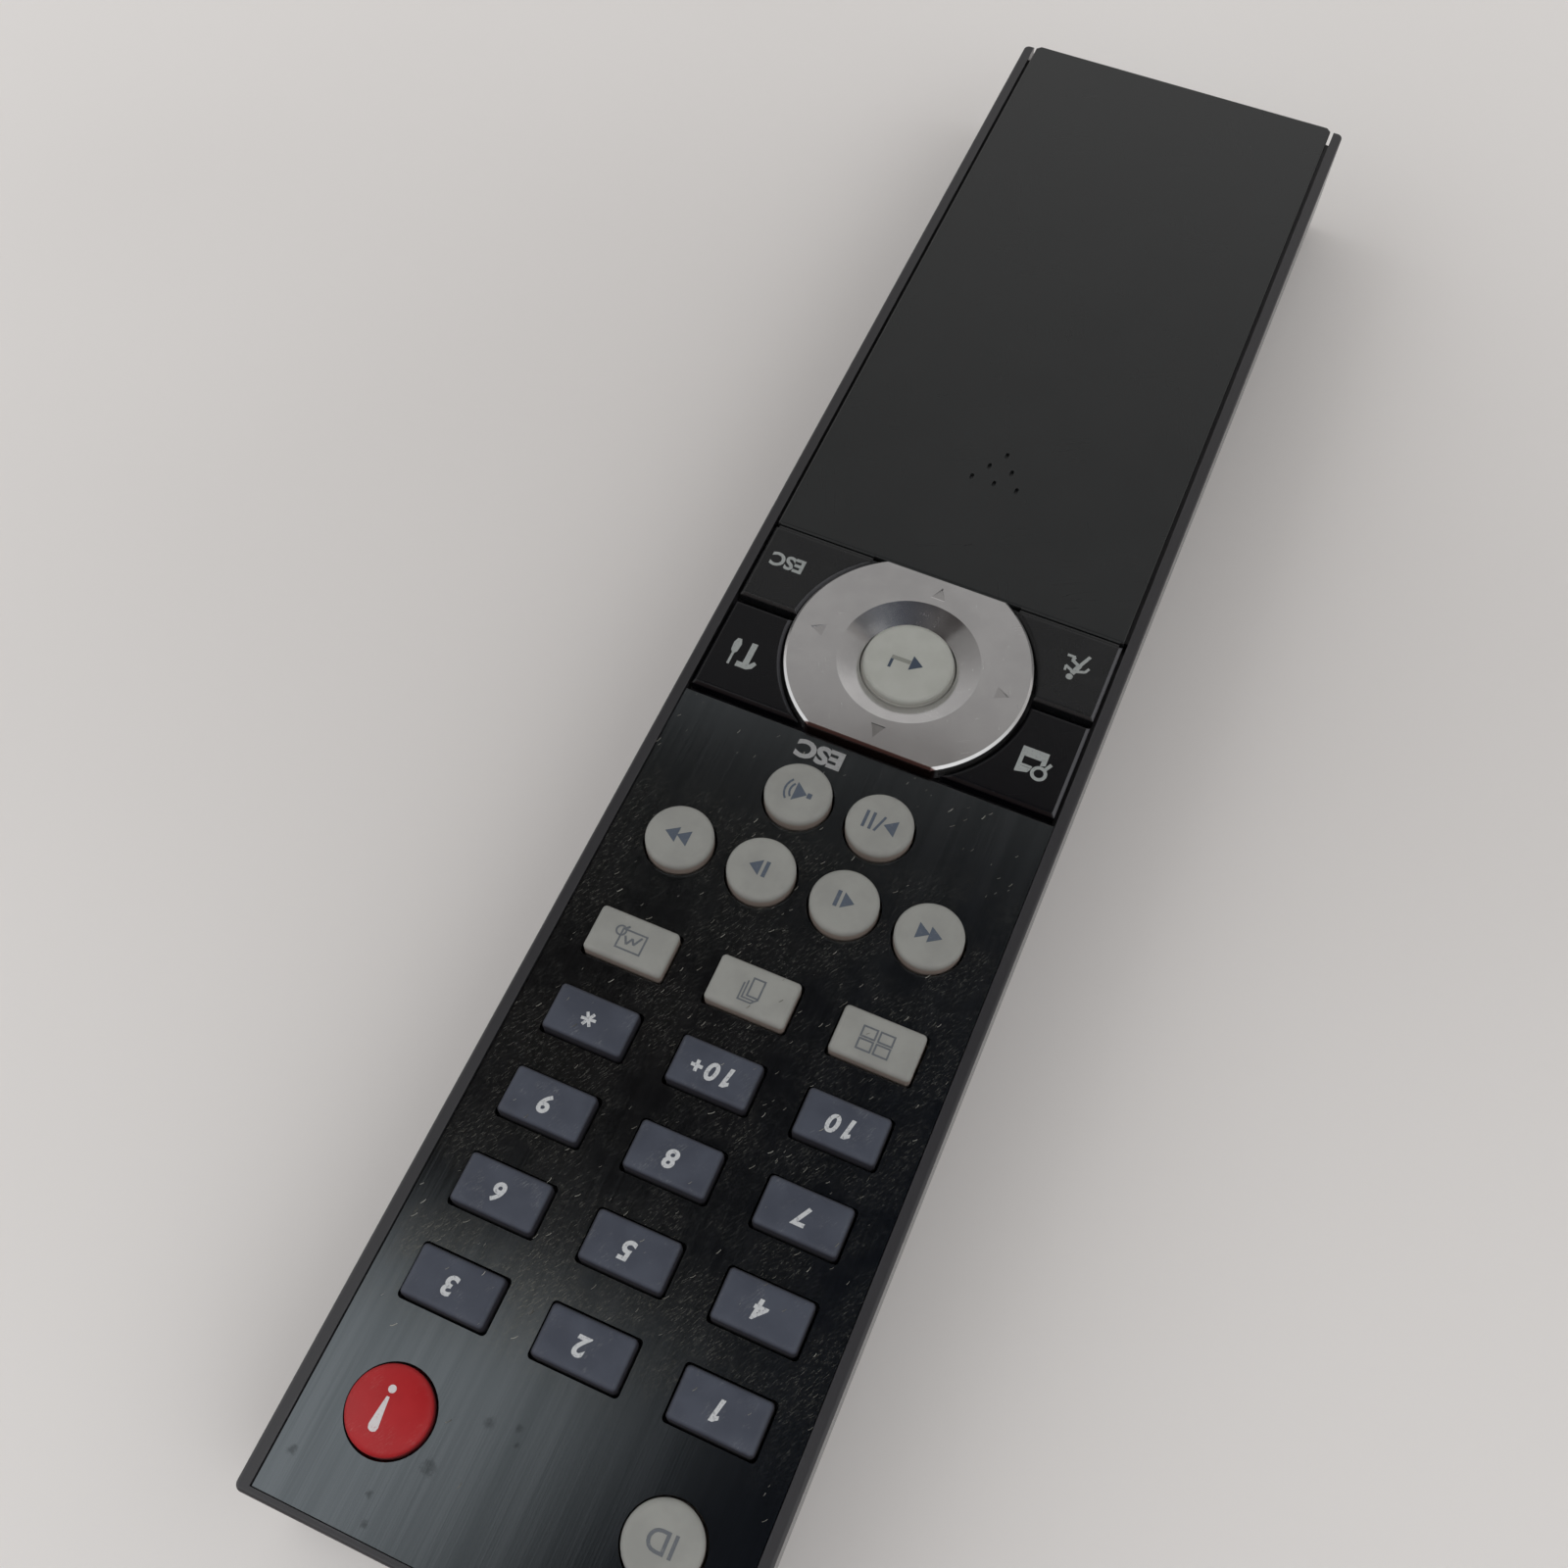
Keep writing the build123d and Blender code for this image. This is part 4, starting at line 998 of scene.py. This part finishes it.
def lint_tree():
    """Scatters short bent fibres over a surface, mostly slanting one way."""
    tree = bpy.data.node_groups.new("lint_scatter", "GeometryNodeTree")
    tree.interface.new_socket("Surface", in_out="INPUT", socket_type="NodeSocketGeometry")
    take_numbers(tree, {**PLATE_LINT, "Fibre width": FIBRE_WIDTH * MM,
                        "Slant": math.radians(FIBRE_SLANT), "Spread": math.radians(FIBRE_SPREAD)})
    tree.interface.new_socket("Seed", in_out="INPUT", socket_type="NodeSocketInt")
    tree.interface.new_socket("Finish", in_out="INPUT", socket_type="NodeSocketMaterial")
    tree.interface.new_socket("Lint", in_out="OUTPUT", socket_type="NodeSocketGeometry")
    given = tree.nodes.new("NodeGroupInput").outputs
    place = tree.nodes.new("GeometryNodeInputPosition").outputs[0]
    clumps = noise(place, scale_of(given["Clump size"]), 3.0, 0.6)
    density = times(given["Density"], remap(clumps, 0.38, 0.68))
    along = axes(place)["Y"]
    fade = minus(given["Last place"], LINT_FADE * MM)
    density = times(density, remap(along, given["Last place"], fade, LINT_BEYOND, 1.0))
    spots = add(tree, "GeometryNodeDistributePointsOnFaces",
                {"Mesh": given["Surface"], "Density": density, "Seed": given["Seed"]})
    half = times(given["Fibre length"], 0.5)
    back = times(half, -1.0)
    bow = times(half, 0.35)
    rise = times(given["Fibre width"], 1.2)
    ends = [add(tree, "ShaderNodeCombineXYZ", {"X": x}).outputs[0] for x in (back, half)]
    hump = add(tree, "ShaderNodeCombineXYZ", {"Y": bow, "Z": rise}).outputs[0]
    line = add(tree, "GeometryNodeCurveQuadraticBezier",
               {"Resolution": 5, "Start": ends[0], "Middle": hump, "End": ends[1]}).outputs[0]
    radius = times(given["Fibre width"], 0.5)
    section = add(tree, "GeometryNodeCurvePrimitiveCircle", {"Resolution": 4, "Radius": radius}).outputs[0]
    fibre = add(tree, "GeometryNodeCurveToMesh",
                {"Curve": line, "Profile Curve": section, "Fill Caps": True}).outputs[0]
    low = minus(given["Slant"], given["Spread"])
    high = calculate("ADD", given["Slant"], given["Spread"])
    turn = add(tree, "FunctionNodeRandomValue", {"Min": low, "Max": high, "Seed": given["Seed"]}).outputs[1]
    turning = add(tree, "ShaderNodeCombineXYZ", {"Z": turn}).outputs[0]
    inputs = {"Min": FIBRE_SIZES[0], "Max": FIBRE_SIZES[1], "Seed": SIZE_SEED}
    sizes = add(tree, "FunctionNodeRandomValue", inputs).outputs[1]
    many = add(tree, "GeometryNodeInstanceOnPoints",
               {"Points": spots.outputs["Points"], "Instance": fibre, "Rotation": turning, "Scale": sizes})
    real = add(tree, "GeometryNodeRealizeInstances", {0: many.outputs[0]}).outputs[0]
    painted = add(tree, "GeometryNodeSetMaterial", {"Geometry": real, "Material": given["Finish"]})
    put(painted.outputs[0], tree.nodes.new("NodeGroupOutput").inputs[0])
    return tree


LINT_TREE = lint_tree()


def grown_by(tree, name, bed, body, values):
    """Runs a geometry tree on a bed mesh and keeps the result as a plain piece, unless nothing grew."""
    worker = placed(name + "_work", bed)
    modifier = worker.modifiers.new("grow", "NODES")
    modifier.node_group = tree
    for item in tree.interface.items_tree:
        if item.in_out == "INPUT" and item.name in values:
            modifier[item.identifier] = values[item.name]
    mesh = baked(worker)
    bpy.data.meshes.remove(bed)
    if not mesh.polygons:
        bpy.data.meshes.remove(mesh)
        return None
    thing = placed(name, mesh)
    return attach(thing, body)


def top_faces(node):
    """A merged copy of a CAD node's faces that look up, near its top."""
    work = bmesh.new()
    work.from_mesh(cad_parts[node].data)
    bmesh.ops.remove_doubles(work, verts=work.verts, dist=CAD_WELD * MM)
    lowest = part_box(node)[1].z - TOP_BAND * MM
    gone = [f for f in work.faces if f.normal.z < TOP_LEVEL or f.calc_center_median().z < lowest]
    bmesh.ops.delete(work, geom=gone, context="FACES")
    return mesh_of(node + "_top", work)


def lint():
    """Fibres on the face plate and on the rubber keys."""
    values = {**PLATE_LINT, "Seed": PLATE_SEED, "Finish": LINT}
    grown_by(LINT_TREE, "plate_lint", top_faces("face_plate"), "case", values)
    for index, node in enumerate((*DIGIT_KEYS, "split_view_key", "page_key")):
        values = {**KEY_LINT, "Seed": KEY_SEED + index, "Finish": LINT}
        grown_by(LINT_TREE, f"{node}_lint", top_faces(node), node, values)


# Colour on the CAD nodes


def paint(material, *nodes):
    """Gives CAD nodes a finish."""
    for node in nodes:
        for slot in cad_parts[node].material_slots:
            slot.material = material


def paint_all():
    """Every CAD node gets its finish."""
    paint(CASE_PLASTIC, "upper_case", "lower_case")
    paint(COVER_PLASTIC, "battery_cover")
    paint(PLATE, "face_plate")
    paint(SLATE_RUBBER, *DIGIT_KEYS)
    paint(PALE_RUBBER, "split_view_key", "page_key", "picture_search_key", "rewind_key", "step_back_key",
          "step_forward_key", "fast_forward_key", "play_pause_key", "sound_key", "id_key")
    paint(RED_RUBBER, "alarm_key")
    paint(PEARL, "enter_key")
    paint(SILVER, "dpad_ring")
    paint(INNER_PLASTIC, "dpad_rocker")
    paint(GLOSS_BLACK, "screen_search_key", "tools_key")
    paint(SATIN_BLACK, "motion_key", "escape_key")
    paint(small_part("mat_rubber_skin", (0.2, 0.2, 0.21), (0.25, 0.25, 0.26), 0.6), "keypad_mat")
    paint(solder_mask(), "circuit_board")
    paint(small_part("emitter_clear_blue", (0.1, 0.14, 0.3), (0.14, 0.18, 0.36), 0.12), "ir_leds")
    paint(smoked_window(), "ir_window")
    paint(small_part("chip_black", (0.015, 0.015, 0.016), (0.025, 0.025, 0.026), 0.45), "control_chip")
    paint(small_part("ceramic_tan", (0.5, 0.3, 0.1), (0.6, 0.38, 0.14), 0.4), "resonator")
    paint(small_part("sleeve_blue", (0.02, 0.03, 0.12), (0.03, 0.045, 0.16), 0.3), "storage_capacitor")
    nickel = plain_metal("nickel_contact", (0.6, 0.57, 0.52), (0.7, 0.67, 0.62), 0.22)
    paint(nickel, "contact_springs", "front_contacts", "bridge_contact")
    paint(plain_metal("zinc_screw", (0.5, 0.49, 0.46), (0.62, 0.6, 0.56), 0.3), "case_screws")
    for node, plus_up in (("cell_left", True), ("cell_right", False)):
        low, high = (corner.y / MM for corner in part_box(node))
        plus, minus = (high, low) if plus_up else (low, high)
        paint(cell_wrap(node + "_wrap", plus, minus), node)


# Camera, floor and light


def make_camera():
    """The camera at the photograph's place."""
    data = bpy.data.cameras.new("camera")
    data.sensor_width = SENSOR_WIDTH
    data.lens = SENSOR_WIDTH * FOCAL_PIXELS / PHOTO_SIDE
    data.clip_start = 0.01
    camera = placed("camera", data)
    turn = Matrix((CAMERA_RIGHT, CAMERA_UP, CAMERA_BACK)).transposed()
    camera.matrix_world = Matrix.Translation(metres(*CAMERA_PLACE)) @ turn.to_4x4()
    bpy.context.scene.camera = camera


def make_floor():
    """A plain pale floor."""
    half = FLOOR_SIDE / 2
    mesh = flat_mesh("floor", [((-half, -half), (half, -half), (half, half), (-half, half))])
    mesh.materials.append(table_top())
    floor = placed("floor", mesh)


def make_flag():
    """A dark cloth flag over the remote, which its glossy tops mirror. No camera sees it."""
    mesh = flat_mesh("flag", [FLAG_CORNERS], FLAG_HEIGHT)
    material, tree, shader = finish_of("flag_cloth", 0.9, Specular_IOR_Level=0.1)
    place = axes(millimetres(tree))
    cloth = mix(remap(place["X"], *FLAG_TURN), *FLAG_TONES)
    lit = mix(remap(place["X"], *FLAG_LIT_TURN), *FLAG_LIT_TONES)
    cloth = mix(remap(place["Y"], *FLAG_LIT), cloth, lit)
    cloth = mix(remap(place["Y"], *FLAG_HEM), cloth, TAIL_TONE)
    put(cloth, shader["Base Color"])
    past = minus(place["Y"], FLAG_FADE_ALONG[1])
    across = minus(place["X"], times(past, FLAG_SLANT))
    thin = times(remap(across, *FLAG_FADE_ACROSS), remap(place["Y"], *FLAG_FADE_ALONG))
    put(minus(1.0, thin), shader["Alpha"])
    mesh.materials.append(material)
    flag = placed("flag", mesh)
    flag.visible_camera = False


def make_cards():
    """Grey cards beside the flag, which only shiny surfaces mirror."""
    mesh = flat_mesh("cards", CARD_CORNERS, FLAG_HEIGHT)
    material, tree, shader = finish_of("card_grey", 0.9, Specular_IOR_Level=0.0, Emission_Strength=1.0)
    shader["Base Color"].default_value = (0.0, 0.0, 0.0, 1.0)
    far = distance(millimetres(tree), *CARD_MIDDLE, FLAG_HEIGHT)
    put(mix(remap(far, *CARD_REACH), *CARD_TONES), shader["Emission Color"])
    mesh.materials.append(material)
    cards = placed("cards", mesh)
    cards.visible_camera = False
    cards.visible_diffuse = False
    cards.visible_shadow = False


def make_world():
    """A soft room, brighter overhead and towards the +Y end."""
    world = bpy.data.worlds.new("room")
    bpy.context.scene.world = world
    world.use_nodes = True
    tree = world.node_tree
    bpy.context.scene.view_settings.view_transform = "Standard"
    background = next(node for node in tree.nodes if node.type == "BACKGROUND")
    direction = tree.nodes.new("ShaderNodeTexCoord").outputs["Generated"]
    sides = axes(direction)
    tail = mix(remap(sides["Z"], *LOW_HEIGHT), TAIL_TONE, LOW_TONE)
    room = mix(remap(sides["Y"], *WINDOW_START), tail, WINDOW_TONE)
    front = times(remap(sides["Y"], *FRONT_START), remap(sides["Z"], *FRONT_HEIGHT))
    room = mix(front, room, FRONT_TONE)
    share = calculate("MULTIPLY_ADD", sides["X"], SIDE_LIGHT, 1.0)
    share = times(share, remap(sides["Z"], *LOW_START, LOW_SHARE, 1.0))
    room = add(tree, "ShaderNodeVectorMath", {0: room, "Scale": share}, operation="SCALE").outputs[0]
    put(room, background.inputs["Color"])


make_camera()
make_floor()
make_flag()
make_cards()
make_world()
paint_all()
digit_legends()
menu_legends()
player_legends()
alarm_legends()
corner_legends()
centre_legends()
lips_and_skirt()
lint()
